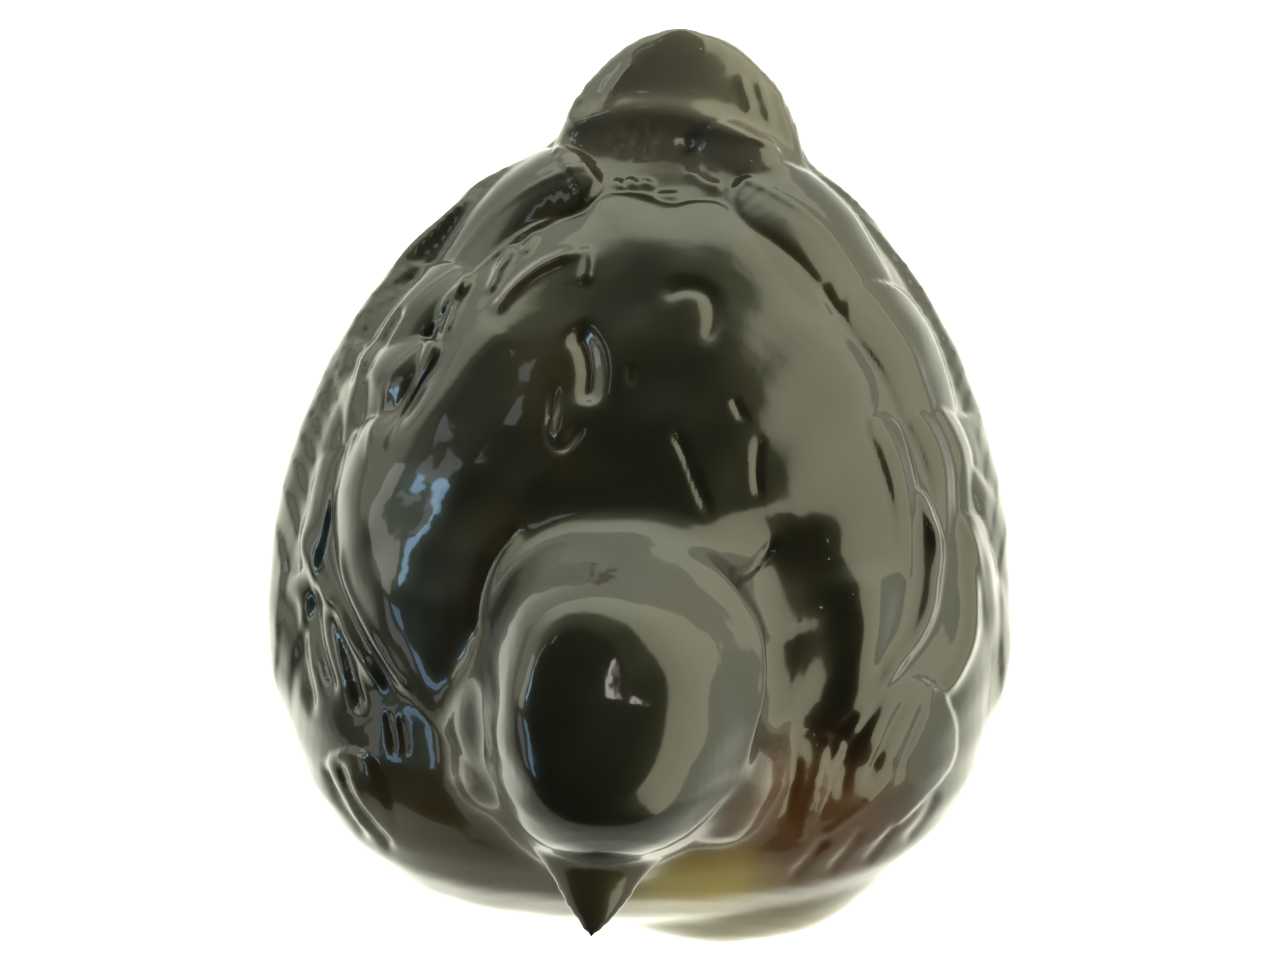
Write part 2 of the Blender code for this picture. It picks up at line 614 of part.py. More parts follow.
def make_bird():
    head = join("head", make_head_masses())
    fuse(head, HEAD_STEPS)
    bird = join("bird", [head, *make_soft_masses()])
    fuse(bird, BLEND_STEPS)
    soften(bird, NECK_STEPS, neck_share(bird))
    bird = join("bird", [bird, *make_sharp_masses()])
    fuse(bird, SEAM_STEPS)
    carve(bird)
    soften(bird, WORN_STEPS)
    reduce_mesh(bird)
    cut_foot(bird)
    bird.name = "bird"
    return bird


def main():
    clear_scene()
    bird = make_bird()
    material = bpy.data.materials.new("glaze")
    material.use_nodes = True
    shader = material.node_tree.nodes["Principled BSDF"]
    shader.inputs["Base Color"].default_value = GLAZE_COLOUR
    shader.inputs["Roughness"].default_value = GLAZE_ROUGHNESS
    bird.data.materials.append(material)
    bird.data.shade_smooth()


main()
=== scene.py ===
"""Glazed porcelain songbird: its carved and glazed skin, a pale floor, soft studio light and the camera.

The skin is modelled in millimetres from the middle of the bird seen from above, as the solid is, and is then
moved so that the middle of its foot is the origin. In names, left and right are the camera's: the bird faces
the lower edge of the picture, so its own left and right are the other way round.
"""
import math
from collections import namedtuple

import bmesh
import bpy
import numpy as np
from mathutils import Euler, Matrix, Vector


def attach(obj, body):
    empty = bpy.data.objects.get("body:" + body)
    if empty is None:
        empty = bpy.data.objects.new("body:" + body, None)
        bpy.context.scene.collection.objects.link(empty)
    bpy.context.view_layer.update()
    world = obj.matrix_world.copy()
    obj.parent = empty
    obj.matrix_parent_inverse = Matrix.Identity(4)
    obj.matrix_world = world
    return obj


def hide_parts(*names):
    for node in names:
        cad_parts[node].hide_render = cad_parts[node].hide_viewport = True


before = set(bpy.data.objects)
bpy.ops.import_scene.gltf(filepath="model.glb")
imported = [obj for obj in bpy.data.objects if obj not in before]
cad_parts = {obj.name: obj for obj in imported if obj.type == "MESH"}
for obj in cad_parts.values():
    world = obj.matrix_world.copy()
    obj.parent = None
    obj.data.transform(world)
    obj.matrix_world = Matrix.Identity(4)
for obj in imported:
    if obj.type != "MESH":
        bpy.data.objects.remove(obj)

MM = 0.001

# Body: an egg that is widest ahead of the middle
HALF_WIDTH = 34.0
WIDEST_Y = -11.5
BREAST_REACH = 30.3
RUMP_REACH = 46.5
WAIST_HEIGHT = 24.0
BACK_RISE = 23.5
BELLY_DROP = 26.5
RUMP_LIFT = 8.0
RUMP_SHIFT = 2.6
BREAST_SQUARENESS = 2.6
SECTION_SQUARENESS = 2.25
LEFT_BACK_SQUARENESS = 2.4
RIGHT_BACK_SQUARENESS = 2.0
RUMP_TAPER = 0.62
BACK_TAPER = 0.95

# Head: a crown over two cheeks and a throat, turned a little to the bird's right
CROWN_CENTRE = (-3.9, -25.2, 37.4)
CROWN_RADII = (11.6, 12.4, 21.2)
CROWN_FRONT_REACH = 1.1
CROWN_TAPER = 0.13
CROWN_OUTLINE = 2.4
CROWN_STEEP_SQUARENESS = 5.6
CROWN_EASY_SQUARENESS = 2.9
CROWN_SKIRT = 2.6
CROWN_SKIRT_LEVEL = 0.45
CROWN_ROLL = 7.0
HEAD_TURN = 10.0
CHEEK_RADII = (5.3, 8.8, 7.2)
LEFT_CHEEK_CENTRE = (-12.6, -25.4, 41.6)
RIGHT_CHEEK_CENTRE = (8.5, -28.4, 41.6)
RIGHT_CHEEK_TURN = 16.0
THROAT_CENTRE = (-2.2, -31.5, 36.0)
THROAT_RADII = (9.4, 8.0, 9.0)
EYE_RADIUS = 1.9
LEFT_EYE_CENTRE = (-12.6, -30.6, 46.0)
RIGHT_EYE_CENTRE = (6.6, -33.4, 46.0)

# Line round the neck, as laid out from above, where the head flows into the back
NECK_LINE = [
    (-12.5, -12.0), (-10.5, -7.0), (-5.0, -5.0), (3.0, -4.5), (9.5, -6.5), (12.0, -10.5), (12.0, -16.0),
    (10.5, -22.0), (8.5, -28.0),
]
NECK_SOFTNESS = 4.0
NECK_LOWEST = 40.0

# Beak: a short cone with a ridge along its top
BEAK_ROOT = (-3.6, -35.0, 43.5)
BEAK_TIP = (-4.3, -45.8, 42.6)
BEAK_HALF_WIDTH = 7.4
BEAK_HALF_HEIGHT = 5.0
BEAK_TAPER = 0.92
BEAK_SQUARENESS = 1.75
BEAK_SUNK = 0.1

# Breast: fuller on its left side
BREAST_CENTRE = (8.0, -27.0, 20.0)
BREAST_RADII = (19.0, 16.4, 15.0)

# Tail: a short blade with a round end
TAIL_ROOT = (3.8, 22.0, 27.5)
TAIL_END_Y = 41.0
TAIL_END_HEIGHT = 35.5
TAIL_HALF_WIDTH = 12.4
TAIL_THICKNESS = 5.6
TAIL_ROUNDING = 14.0
TAIL_CROWN = 1.6
TAIL_SQUARENESS = 2.3
TAIL_EDGE_THICKNESS = 0.35
TAIL_MIDDLE_THICKNESS = 0.65

# Feathers are laid out as seen from above and a little from the front: across, and along towards the tail
LAYOUT_LEVEL = 25.0
LAYOUT_LEAN = math.radians(10.0)
LAYOUT_DISTANCE = 600.0
FEATHER_EDGE = 0.6
WOBBLE = 0.035
WOBBLE_WAVES = [
    (0.61, 0.35, 0.0, 0.3), (0.0, 0.52, -0.41, 1.7), (0.83, -0.57, 0.2, 4.1), (0.0, 1.07, 0.9, 2.2),
]
FEATHER_CROWN = 0.6
FEATHER_INNER_CROWN = 1.0
FEATHER_TOP_WAY = 0.66
FEATHER_TIP_SHARE = 0.45
FEATHER_ROOT_WIDTH = 0.7
FEATHER_WIDENING = 0.3
FEATHER_ROUND_MOST = 0.6
FEATHER_ROUND_SHARE = 1.2
STROKE_FADE = 0.18
STROKE_REACH = 4
SHAFT_WIDTH = 0.35
SHAFT_HEIGHT = 0.10
FACING_LEAST = 0.05
FACING_FULL = 0.32
CARVED_UP_TO = 48.0
CARVING_FADE = 2.0
BED_START = 1.0
BED_WIDTH = 11.0
ROLLED_SHARE = 0.75

Feather = namedtuple("Feather", "root tip bow half_width lift")
Stroke = namedtuple("Stroke", "points half_width height")
Edge = namedtuple("Edge", "across along drop roll")

# The mantle: its outline, with how far its edge drops to the wing feathers and how wide that edge is rolled
MANTLE_OUTLINE = [
    Edge(-5.2, 25.4, 1.0, 5.0), Edge(-3.6, 26.9, 0.9, 4.5), Edge(-0.3, 27.2, 0.9, 4.8),
    Edge(2.8, 26.2, 0.9, 4.8), Edge(5.5, 26.5, 0.9, 4.8), Edge(8.2, 26.0, 0.8, 4.5),
    Edge(10.6, 22.2, 0.25, 3.5), Edge(14.2, 17.6, 0.25, 2.5), Edge(17.2, 15.2, 0.25, 2.5),
    Edge(20.4, 12.6, 0.35, 2.5), Edge(22.2, 8.6, 0.4, 2.5), Edge(22.4, 5.6, 0.4, 2.5),
    Edge(24.6, 2.4, 0.3, 2.5), Edge(25.6, -3.5, 0.3, 2.5), Edge(24.8, -9.5, 0.3, 2.5),
    Edge(22.5, -15.5, 0.5, 2.5), Edge(20.0, -21.5, 0.5, 2.5), Edge(8.0, -30.0, 0.3, 3.0),
    Edge(-12.0, -29.0, 0.3, 3.0), Edge(-20.5, -21.8, 1.0, 3.5), Edge(-24.6, -17.5, 1.6, 4.0),
    Edge(-28.6, -10.5, 1.9, 4.5), Edge(-30.0, -4.0, 2.0, 4.6), Edge(-29.2, 2.0, 2.0, 4.2),
    Edge(-26.6, 5.8, 1.9, 3.6), Edge(-23.6, 6.4, 1.9, 3.0), Edge(-21.4, 9.4, 2.0, 3.6),
    Edge(-20.2, 14.0, 2.1, 6.5), Edge(-18.4, 18.2, 2.3, 9.0), Edge(-14.2, 22.0, 2.3, 9.0),
    Edge(-9.4, 24.8, 1.8, 7.5),
]

# Wing and rump feathers, and the strokes of the tools, all laid out in millimetres
LEFT_WING = [
    Feather((-21.5, 17.5), (-4.2, 29.8), 2.3, 3.6, 1.5),
    Feather((-26.5, 8.0), (-17.2, 21.3), 1.4, 2.8, 1.35),
    Feather((-29.8, 1.0), (-24.4, 13.8), 1.0, 2.1, 1.1),
    Feather((-32.0, -4.0), (-28.6, 8.8), 0.8, 1.5, 1.0),
    Feather((-25.8, 2.0), (-20.2, 14.2), 1.5, 2.9, 1.45),
    Feather((-33.0, -13.0), (-30.2, 4.8), 0.6, 1.8, 1.1),
    Feather((-33.8, -23.0), (-33.1, -8.4), 0.4, 1.4, 0.8),
    Feather((-24.5, -35.0), (-28.8, -25.4), -0.8, 2.4, 0.8),
]
RIGHT_WING = [
    Feather((23.5, 13.0), (9.4, 28.9), -2.1, 3.9, 0.8),
    Feather((28.5, 1.0), (20.3, 18.6), -1.7, 3.4, 0.75),
    Feather((25.5, -9.0), (22.4, 6.5), -1.0, 1.9, 0.5),
    Feather((29.0, -5.0), (26.0, 6.6), -1.0, 1.7, 0.65),
    Feather((31.0, -5.0), (27.9, 7.0), -0.9, 1.5, 0.65),
    Feather((28.0, -9.0), (26.0, -0.8), -0.6, 1.1, 0.5),
    Feather((34.0, -8.0), (30.5, 6.4), -0.7, 1.6, 0.6),
    Feather((34.3, -11.0), (30.9, 1.6), -0.8, 1.4, 0.6),
    Feather((33.5, -17.0), (30.8, -2.8), -0.6, 1.4, 0.6),
    Feather((17.0, -34.0), (27.6, -19.0), -1.6, 4.8, 0.95),
    Feather((15.3, -34.0), (18.6, -24.0), 0.6, 2.0, 0.65),
]
RUMP = [
    Feather((14.0, 27.5), (5.6, 33.0), -0.8, 2.2, 1.0),
]
RUMP_HOLLOW_CENTRE = (2.0, 30.6)
RUMP_HOLLOW_HALF = (7.0, 3.8)
RUMP_HOLLOW_DEPTH = 0.2
RUMP_HOLLOW_EDGE = (0.6, 1.1)
STROKES = [
    Stroke([(-29.4, -5.0), (-28.5, -10.0), (-26.0, -14.5), (-24.0, -18.0), (-21.8, -20.7)], 0.5, 0.35),
    Stroke([(-32.7, -3.0), (-31.8, -8.5), (-29.6, -13.0), (-27.0, -17.0), (-24.6, -20.5)], 0.7, 0.7),
    Stroke([(26.0, -2.0), (27.5, -6.0), (27.5, -11.0), (26.3, -14.5), (24.0, -17.5), (21.5, -21.2)],
           0.8, 0.7),
    Stroke([(30.3, -3.0), (31.2, -8.0), (31.3, -14.0), (30.0, -18.0), (28.0, -21.0)], 0.6, 0.6),
    Stroke([(-9.0, 31.8), (-4.0, 34.0), (0.5, 34.8), (5.0, 34.4), (10.0, 32.2), (15.5, 29.2)], 1.4, 1.6),
    Stroke([(17.2, 19.0), (18.0, 17.2), (19.0, 15.4)], 0.5, -0.2),
    Stroke([(-3.4, 35.0), (-2.4, 37.0), (0.0, 40.0)], 0.4, 0.35),
    Stroke([(-6.5, 33.8), (-5.6, 36.5)], 0.4, 0.35),
    Stroke([(9.4, 38.3), (10.6, 34.5)], 0.4, 0.2),
    Stroke([(11.0, 38.0), (12.7, 33.0)], 0.4, 0.2),
    Stroke([(12.6, 37.0), (14.6, 31.5)], 0.4, 0.2),
    Stroke([(-11.0, -4.0), (-13.6, -7.0), (-15.2, -11.0), (-15.4, -16.0)], 0.6, -0.5),
    Stroke([(9.5, -8.2), (11.5, -7.2), (13.8, -5.0)], 0.5, -0.5),
    Stroke([(11.6, -2.0), (12.6, -8.0), (13.2, -14.0), (14.2, -20.0), (14.2, -29.0)], 4.8, -2.3),
    Stroke([(14.2, -13.0), (14.8, -19.0), (15.0, -27.0)], 3.0, -0.9),
    Stroke([(19.6, -7.0), (20.8, -14.0), (21.0, -20.0), (19.6, -27.0)], 3.2, 1.2),
    Stroke([(-6.6, 14.4), (-5.2, 12.6), (-4.7, 10.0), (-5.2, 6.8)], 1.1, -0.75),
    Stroke([(1.6, 17.0), (4.0, 18.2), (6.4, 17.6), (7.0, 15.0), (6.0, 12.4)], 0.8, -0.3),
    Stroke([(-28.4, 8.6), (-26.4, 13.2), (-23.4, 17.8), (-20.8, 21.2)], 0.4, -0.55),
    Stroke([(-29.6, 8.8), (-27.6, 13.6), (-24.6, 18.4), (-21.6, 22.2)], 0.35, -0.5),
    Stroke([(-26.9, 9.2), (-25.0, 13.4), (-22.6, 17.0)], 0.35, -0.45),
    Stroke([(-20.6, 22.8), (-17.4, 25.8), (-14.0, 28.2)], 0.35, -0.45),
    Stroke([(-21.8, 22.2), (-18.8, 25.0), (-16.4, 27.0)], 0.35, -0.4),
    Stroke([(-12.0, 23.2), (-13.6, 20.6), (-14.6, 17.8)], 0.45, 0.4),
    Stroke([(-16.4, 20.4), (-17.8, 17.4), (-19.0, 13.6)], 0.45, 0.4),
    Stroke([(-9.8, 24.2), (-11.4, 21.8)], 0.4, 0.3),
    Stroke([(-14.0, 15.6), (-12.4, 18.0), (-9.6, 20.2), (-5.2, 21.8)], 0.6, 0.45),
    Stroke([(-5.2, 22.2), (-4.9, 20.4), (-5.4, 18.4)], 0.5, 0.35),
    Stroke([(-32.6, -9.5), (-31.6, -15.0), (-29.4, -21.0)], 0.5, -0.6),
    Stroke([(-33.6, -10.0), (-32.8, -16.0), (-31.0, -23.0)], 0.4, -0.5),
    Stroke([(-30.6, -11.0), (-28.8, -17.0), (-26.8, -22.5)], 0.5, -0.6),
    Stroke([(-30.0, -26.6), (-28.4, -30.6), (-25.4, -34.4)], 0.4, -0.5),
    Stroke([(-28.4, -26.0), (-26.4, -30.6), (-23.2, -35.6)], 0.45, -0.55),
    Stroke([(-24.6, -21.8), (-23.4, -26.0)], 0.3, -0.3),
    Stroke([(-23.2, -22.4), (-22.4, -26.2)], 0.3, -0.3),
    Stroke([(25.2, -20.2), (22.9, -24.0), (21.2, -29.0)], 0.4, -0.2),
    Stroke([(27.0, -20.6), (25.0, -24.4), (23.4, -28.4)], 0.35, -0.18),
    Stroke([(22.8, -20.6), (20.4, -24.6), (18.6, -30.6)], 0.45, -0.2),
    Stroke([(20.6, -21.6), (18.4, -25.0), (17.6, -29.6)], 0.4, -0.2),
    Stroke([(21.2, -32.6), (19.6, -35.0), (17.6, -37.4)], 0.45, -0.25),
    Stroke([(24.2, -31.8), (22.8, -34.2), (21.0, -36.4)], 0.4, -0.2),
    Stroke([(28.2, -29.2), (26.8, -32.0), (24.8, -34.4)], 0.45, -0.22),
    Stroke([(18.0, -33.4), (16.2, -35.6), (14.0, -38.0)], 0.5, -0.3),
    Stroke([(-1.7, 30.6), (-0.9, 32.4), (0.2, 33.6), (0.7, 31.9), (1.6, 33.0), (2.5, 34.0)], 0.42, 0.3),
    Stroke([(-4.2, 31.4), (-2.8, 33.2), (-1.8, 32.2), (-2.2, 30.8)], 0.42, 0.25),
    Stroke([(-2.6, 28.9), (-1.4, 27.9)], 0.35, 0.25),
    Stroke([(-1.3, 29.1), (-0.1, 28.1)], 0.35, 0.25),
    Stroke([(0.0, 28.9), (1.4, 28.3)], 0.35, 0.2),
    Stroke([(1.2, 27.5), (3.9, 27.5)], 0.45, 0.15),
    Stroke([(4.2, 30.0), (6.2, 28.6), (8.0, 28.0)], 0.45, 0.15),
    Stroke([(4.2, 32.8), (4.8, 31.4)], 0.9, -0.6),
    Stroke([(-8.0, 10.0), (-8.3, 6.5), (-8.6, 4.2), (-7.5, 3.0), (-6.4, 4.0), (-5.0, 5.7)], 0.4, -0.4),
    Stroke([(3.0, 4.9), (4.3, 2.4), (5.3, -0.3), (6.7, -3.4)], 0.36, -0.3),
    Stroke([(8.8, 7.8), (9.9, 5.5)], 0.32, -0.26),
    Stroke([(11.3, 4.3), (11.0, 1.0), (11.3, -1.7)], 0.32, -0.26),
    Stroke([(-1.0, 11.0), (-0.8, 8.9)], 0.32, -0.22),
]

# Wing seen from the side: its lower edge stands proud of the flank, and the long feathers run along it
WING_FRONT_Y = -24.0
WING_REAR_Y = 33.0
WING_EDGE_FRONT_Z = 23.0
WING_EDGE_DIP = 11.0
WING_EDGE_REAR_Z = 30.0
WING_PROUD = 1.0
WING_TOP_Z = 44.0
WING_END_Y = 26.0
WING_END_FADE = 5.0
WING_EDGE_SOFTNESS = 1.8
WING_DIP_SKEW = 0.8
WING_FRONT_FADE = 0.1
WING_FACING = (0.25, 0.5)
WING_HIDDEN = (0.1, 0.35)
FLIGHT_FEATHER_GAP = 3.4
FLIGHT_FEATHER_ROWS = (1, 2, 3)
FLIGHT_FEATHER_START = (0.30, 0.55)
FLIGHT_FEATHER_NARROWING = 0.45
FLIGHT_GROOVE_DEPTH = 0.4
FLIGHT_GROOVE_WIDTH = 0.9

# Mesh resolution: the side that faces the layout is divided once more
VOXEL = 0.74
HEAD_STEPS = 4
BLEND_STEPS = 4
NECK_STEPS = 38
SEAM_STEPS = 2
FINE_STEPS = 3
FINE_FACING = 0.0
WORN_STEPS = 2
FLANK_STEPS = 6
FLANK_STEEPNESS = (0.2, 0.5)
SOFTEN_FACTOR = 0.5
LEAST_SHARE = 0.02
BALL_SEGMENTS = 64
BALL_RINGS = 40

# Camera: the photograph's angle, and the width of its frame at the target
CAMERA_ELEVATION = math.radians(80.0)
CAMERA_DISTANCE = 0.6
CAMERA_TARGET = (0.0, 0.0115, 0.025)
FRAME_WIDTH = 0.12075
SENSOR_WIDTH = 36.0
CLIP_START = 0.01


def link_mesh(name, bm):
    mesh = bpy.data.meshes.new(name)
    bmesh.ops.recalc_face_normals(bm, faces=bm.faces)
    bm.to_mesh(mesh)
    bm.free()
    obj = bpy.data.objects.new(name, mesh)
    bpy.context.scene.collection.objects.link(obj)
    return obj


def boulder(name, centre, radii, turn=0.0, roll=0.0, shape=None):
    """A closed ellipsoid, or what the shape function makes of a unit ball; turn and roll are in degrees."""
    bm = bmesh.new()
    bmesh.ops.create_uvsphere(bm, u_segments=BALL_SEGMENTS, v_segments=BALL_RINGS, radius=1.0)
    for vert in bm.verts:
        vert.co = shape(vert.co) if shape else vert.co
    angles = Euler((0.0, math.radians(roll), math.radians(turn)))
    bmesh.ops.transform(bm, matrix=Matrix.Diagonal((*radii, 1.0)), verts=bm.verts)
    bmesh.ops.transform(bm, matrix=angles.to_matrix().to_4x4(), verts=bm.verts)
    bmesh.ops.translate(bm, vec=Vector(centre), verts=bm.verts)
    bmesh.ops.scale(bm, vec=(MM, MM, MM), verts=bm.verts)
    return link_mesh(name, bm)


def crown_shape(place):
    """Steep and nearly square on the bird's right and in front, easy and spreading downwards on its left and
    behind, and narrower in front than behind."""
    x, y, z = place
    easy = 0.5 + 0.5 * (x + y) / max(math.hypot(x, y) * math.sqrt(2.0), 1e-9)
    squareness = CROWN_STEEP_SQUARENESS + (CROWN_EASY_SQUARENESS - CROWN_STEEP_SQUARENESS) * easy
    reach = (abs(x) ** CROWN_OUTLINE + abs(y) ** CROWN_OUTLINE) ** (1.0 / CROWN_OUTLINE)
    place = place / (reach**squareness + abs(z) ** squareness) ** (1.0 / squareness)
    spread = 1.0 + CROWN_SKIRT * easy**2 * (1.0 - max(CROWN_SKIRT_LEVEL, place.z)) ** 2
    length = CROWN_FRONT_REACH if place.y < 0.0 else spread
    return Vector((place.x * spread * (1.0 + CROWN_TAPER * place.y), place.y * length, place.z))


def loft(name, rings, start, end):
    """A closed skin through rings of equal length, with a point at each end."""
    bm = bmesh.new()
    rows = [[bm.verts.new(Vector(p) * MM) for p in ring] for ring in rings]
    count = len(rows[0])
    for row, following in zip(rows, rows[1:]):
        for i in range(count):
            j = (i + 1) % count
            bm.faces.new((row[i], row[j], following[j], following[i]))
    for row, point in ((rows[0], start), (rows[-1], end)):
        pole = bm.verts.new(Vector(point) * MM)
        for i in range(count):
            bm.faces.new((row[i], row[(i + 1) % count], pole))
    return link_mesh(name, bm)


def superellipse(angle, squareness):
    """(x, y) on a unit superellipse."""
    power = 2.0 / squareness
    x, y = math.cos(angle), math.sin(angle)
    return math.copysign(abs(x) ** power, x), math.copysign(abs(y) ** power, y)


def body_share(y, rear_taper):
    """How much of its greatest size the body has at y, from 1 at the widest place to 0 at either end."""
    if y < WIDEST_Y:
        way = (WIDEST_Y - y) / BREAST_REACH
        return (1.0 - way**BREAST_SQUARENESS) ** (1.0 / BREAST_SQUARENESS)
    way = (y - WIDEST_Y) / RUMP_REACH
    return (1.0 - way * way) ** rear_taper


def body_waist(y):
    """(x, z) of the middle of the body's section at y; the rump rises and swings to the bird's left."""
    way = max(0.0, (y - WIDEST_Y) / RUMP_REACH)
    return RUMP_SHIFT * way * way, WAIST_HEIGHT + RUMP_LIFT * way * way


def make_body():
    stations, ring_points = 72, 96
    front, rear = WIDEST_Y - BREAST_REACH, WIDEST_Y + RUMP_REACH
    rings = []
    for i in range(1, stations):
        y = front + (rear - front) * (1.0 - math.cos(math.pi * i / stations)) / 2.0
        x0, z0 = body_waist(y)
        half_width = HALF_WIDTH * body_share(y, RUMP_TAPER)
        rise = BACK_RISE * body_share(y, BACK_TAPER)
        drop = BELLY_DROP * body_share(y, RUMP_TAPER)
        ring = []
        for k in range(ring_points):
            angle = 2.0 * math.pi * k / ring_points
            if angle > math.pi:
                across, up = superellipse(angle, SECTION_SQUARENESS)
            elif angle > math.pi / 2.0:
                across, up = superellipse(angle, LEFT_BACK_SQUARENESS)
            else:
                across, up = superellipse(angle, RIGHT_BACK_SQUARENESS)
            ring.append((x0 + half_width * across, y, z0 + up * (rise if up > 0 else drop)))
        rings.append(ring)
    ends = [(body_waist(y)[0], y, body_waist(y)[1]) for y in (front, rear)]
    return loft("body", rings, *ends)


def make_tail():
    stations, ring_points = 28, 48
    x0, root_y, root_z = TAIL_ROOT
    rings = []
    for i in range(stations):
        way = i / stations
        y = root_y + (TAIL_END_Y - root_y) * math.sin(way * math.pi / 2.0)
        z = root_z + (TAIL_END_HEIGHT - root_z) * (y - root_y) / (TAIL_END_Y - root_y)
        inset = max(0.0, y - (TAIL_END_Y - TAIL_ROUNDING)) / TAIL_ROUNDING
        share = math.sqrt(max(0.0, 1.0 - inset * inset))
        half_width = TAIL_HALF_WIDTH * share
        half_thickness = TAIL_THICKNESS / 2.0 * (TAIL_EDGE_THICKNESS + TAIL_MIDDLE_THICKNESS * share)
        ring = []
        for k in range(ring_points):
            across, up = superellipse(2.0 * math.pi * k / ring_points, TAIL_SQUARENESS)
            crown = TAIL_CROWN * (1.0 - across * across)
            ring.append((x0 + half_width * across, y, z + half_thickness * up + crown))
        rings.append(ring)
    return loft("tail", rings, (x0, root_y - 1.0, root_z), (x0, TAIL_END_Y, TAIL_END_HEIGHT + TAIL_CROWN))


def make_beak():
    stations, ring_points = 24, 40
    root, tip = Vector(BEAK_ROOT), Vector(BEAK_TIP)
    along = tip - root
    across_axis = along.cross(Vector((0.0, 0.0, 1.0))).normalized()
    up_axis = across_axis.cross(along).normalized()
    rings = []
    for i in range(stations):
        way = i / stations
        share = (1.0 - way) ** BEAK_TAPER
        centre = root + along * way
        ring = []
        for k in range(ring_points):
            across, up = superellipse(2.0 * math.pi * k / ring_points, BEAK_SQUARENESS)
            ring.append(centre + across_axis * across * BEAK_HALF_WIDTH * share
                        + up_axis * up * BEAK_HALF_HEIGHT * share)
        rings.append(ring)
    return loft("beak", rings, root - along * BEAK_SUNK, tip)


def make_head_masses():
    return [
        boulder("crown", CROWN_CENTRE, CROWN_RADII, -HEAD_TURN, CROWN_ROLL, crown_shape),
        boulder("throat", THROAT_CENTRE, THROAT_RADII, -HEAD_TURN),
        boulder("left_cheek", LEFT_CHEEK_CENTRE, CHEEK_RADII, -HEAD_TURN),
        boulder("right_cheek", RIGHT_CHEEK_CENTRE, CHEEK_RADII, -RIGHT_CHEEK_TURN),
    ]


def make_soft_masses():
    return [
        make_body(),
        make_tail(),
        boulder("breast", BREAST_CENTRE, BREAST_RADII),
    ]


def make_sharp_masses():
    return [
        make_beak(),
        boulder("left_eye", LEFT_EYE_CENTRE, (EYE_RADIUS,) * 3),
        boulder("right_eye", RIGHT_EYE_CENTRE, (EYE_RADIUS,) * 3),
    ]


def join(name, pieces):
    """One object from all the pieces, still as overlapping skins."""
    bm = bmesh.new()
    for piece in pieces:
        bm.from_mesh(piece.data)
        bpy.data.objects.remove(piece, do_unlink=True)
    mesh = bpy.data.meshes.new(name)
    bm.to_mesh(mesh)
    bm.free()
    obj = bpy.data.objects.new(name, mesh)
    bpy.context.scene.collection.objects.link(obj)
    return obj


def soften(obj, steps, shares=None):
    """Wears the edges down, everywhere or by the share given for each point, and applies the modifiers."""
    smooth = obj.modifiers.new("soften", "SMOOTH")
    smooth.factor = SOFTEN_FACTOR
    smooth.iterations = steps
    if shares is not None:
        group = obj.vertex_groups.new(name="softened")
        for index in np.flatnonzero(shares > LEAST_SHARE):
            group.add([int(index)], float(shares[index]), "REPLACE")
        smooth.vertex_group = group.name
    graph = bpy.context.evaluated_depsgraph_get()
    mesh = bpy.data.meshes.new_from_object(obj.evaluated_get(graph))
    obj.modifiers.clear()
    obj.vertex_groups.clear()
    obj.data = mesh


def fuse(obj, steps):
    """Makes one skin of the overlapping ones and softens the joints between them."""
    remesh = obj.modifiers.new("fuse", "REMESH")
    remesh.mode = "VOXEL"
    remesh.voxel_size = VOXEL * MM
    remesh.adaptivity = 0.0
    soften(obj, steps)


def read_places(obj, kind):
    """The points' places ("co") or normals ("normal") as rows."""
    values = np.empty(len(obj.data.vertices) * 3)
    obj.data.vertices.foreach_get(kind, values)
    return values.reshape(-1, 3)


def refine(obj):
    """Divides the faces that the layout faces once more, and smooths what that leaves flat."""
    view = Vector((0.0, -math.sin(LAYOUT_LEAN), math.cos(LAYOUT_LEAN)))
    bm = bmesh.new()
    bm.from_mesh(obj.data)
    edges = {e for f in bm.faces if f.normal.dot(view) > FINE_FACING for e in f.edges}
    bmesh.ops.subdivide_edges(bm, edges=list(edges), cuts=1, use_grid_fill=True)
    bm.to_mesh(obj.data)
    bm.free()
    soften(obj, FINE_STEPS)


def smoothstep(value, low, high):
    way = np.clip((value - low) / (high - low), 0.0, 1.0)
    return way * way * (3.0 - 2.0 * way)


def layout_place(points):
    """(across, along) of points in millimetres on the layout plane."""
    up = points[:, 2] - LAYOUT_LEVEL
    height = up * math.cos(LAYOUT_LEAN) - points[:, 1] * math.sin(LAYOUT_LEAN)
    size = 1.0 / (1.0 - height / LAYOUT_DISTANCE)
    along = points[:, 1] * math.cos(LAYOUT_LEAN) + up * math.sin(LAYOUT_LEAN)
    return points[:, 0] * size, along * size


def smooth_line(points, steps=8, closed=False):
    """More points on a smooth curve through the given ones."""
    points = [np.array(p) for p in points]
    if closed:
        padded = [points[-1], *points, points[0], points[1]]
    else:
        padded = [2 * points[0] - points[1], *points, 2 * points[-1] - points[-2]]
    line = []
    for a, b, c, d in zip(padded, padded[1:], padded[2:], padded[3:]):
        for k in range(steps):
            t = k / steps
            line.append(0.5 * (2 * b + (c - a) * t + (2 * a - 5 * b + 4 * c - d) * t**2
                               + (3 * b - a - 3 * c + d) * t**3))
    return np.array([*line, points[0] if closed else points[-1]])


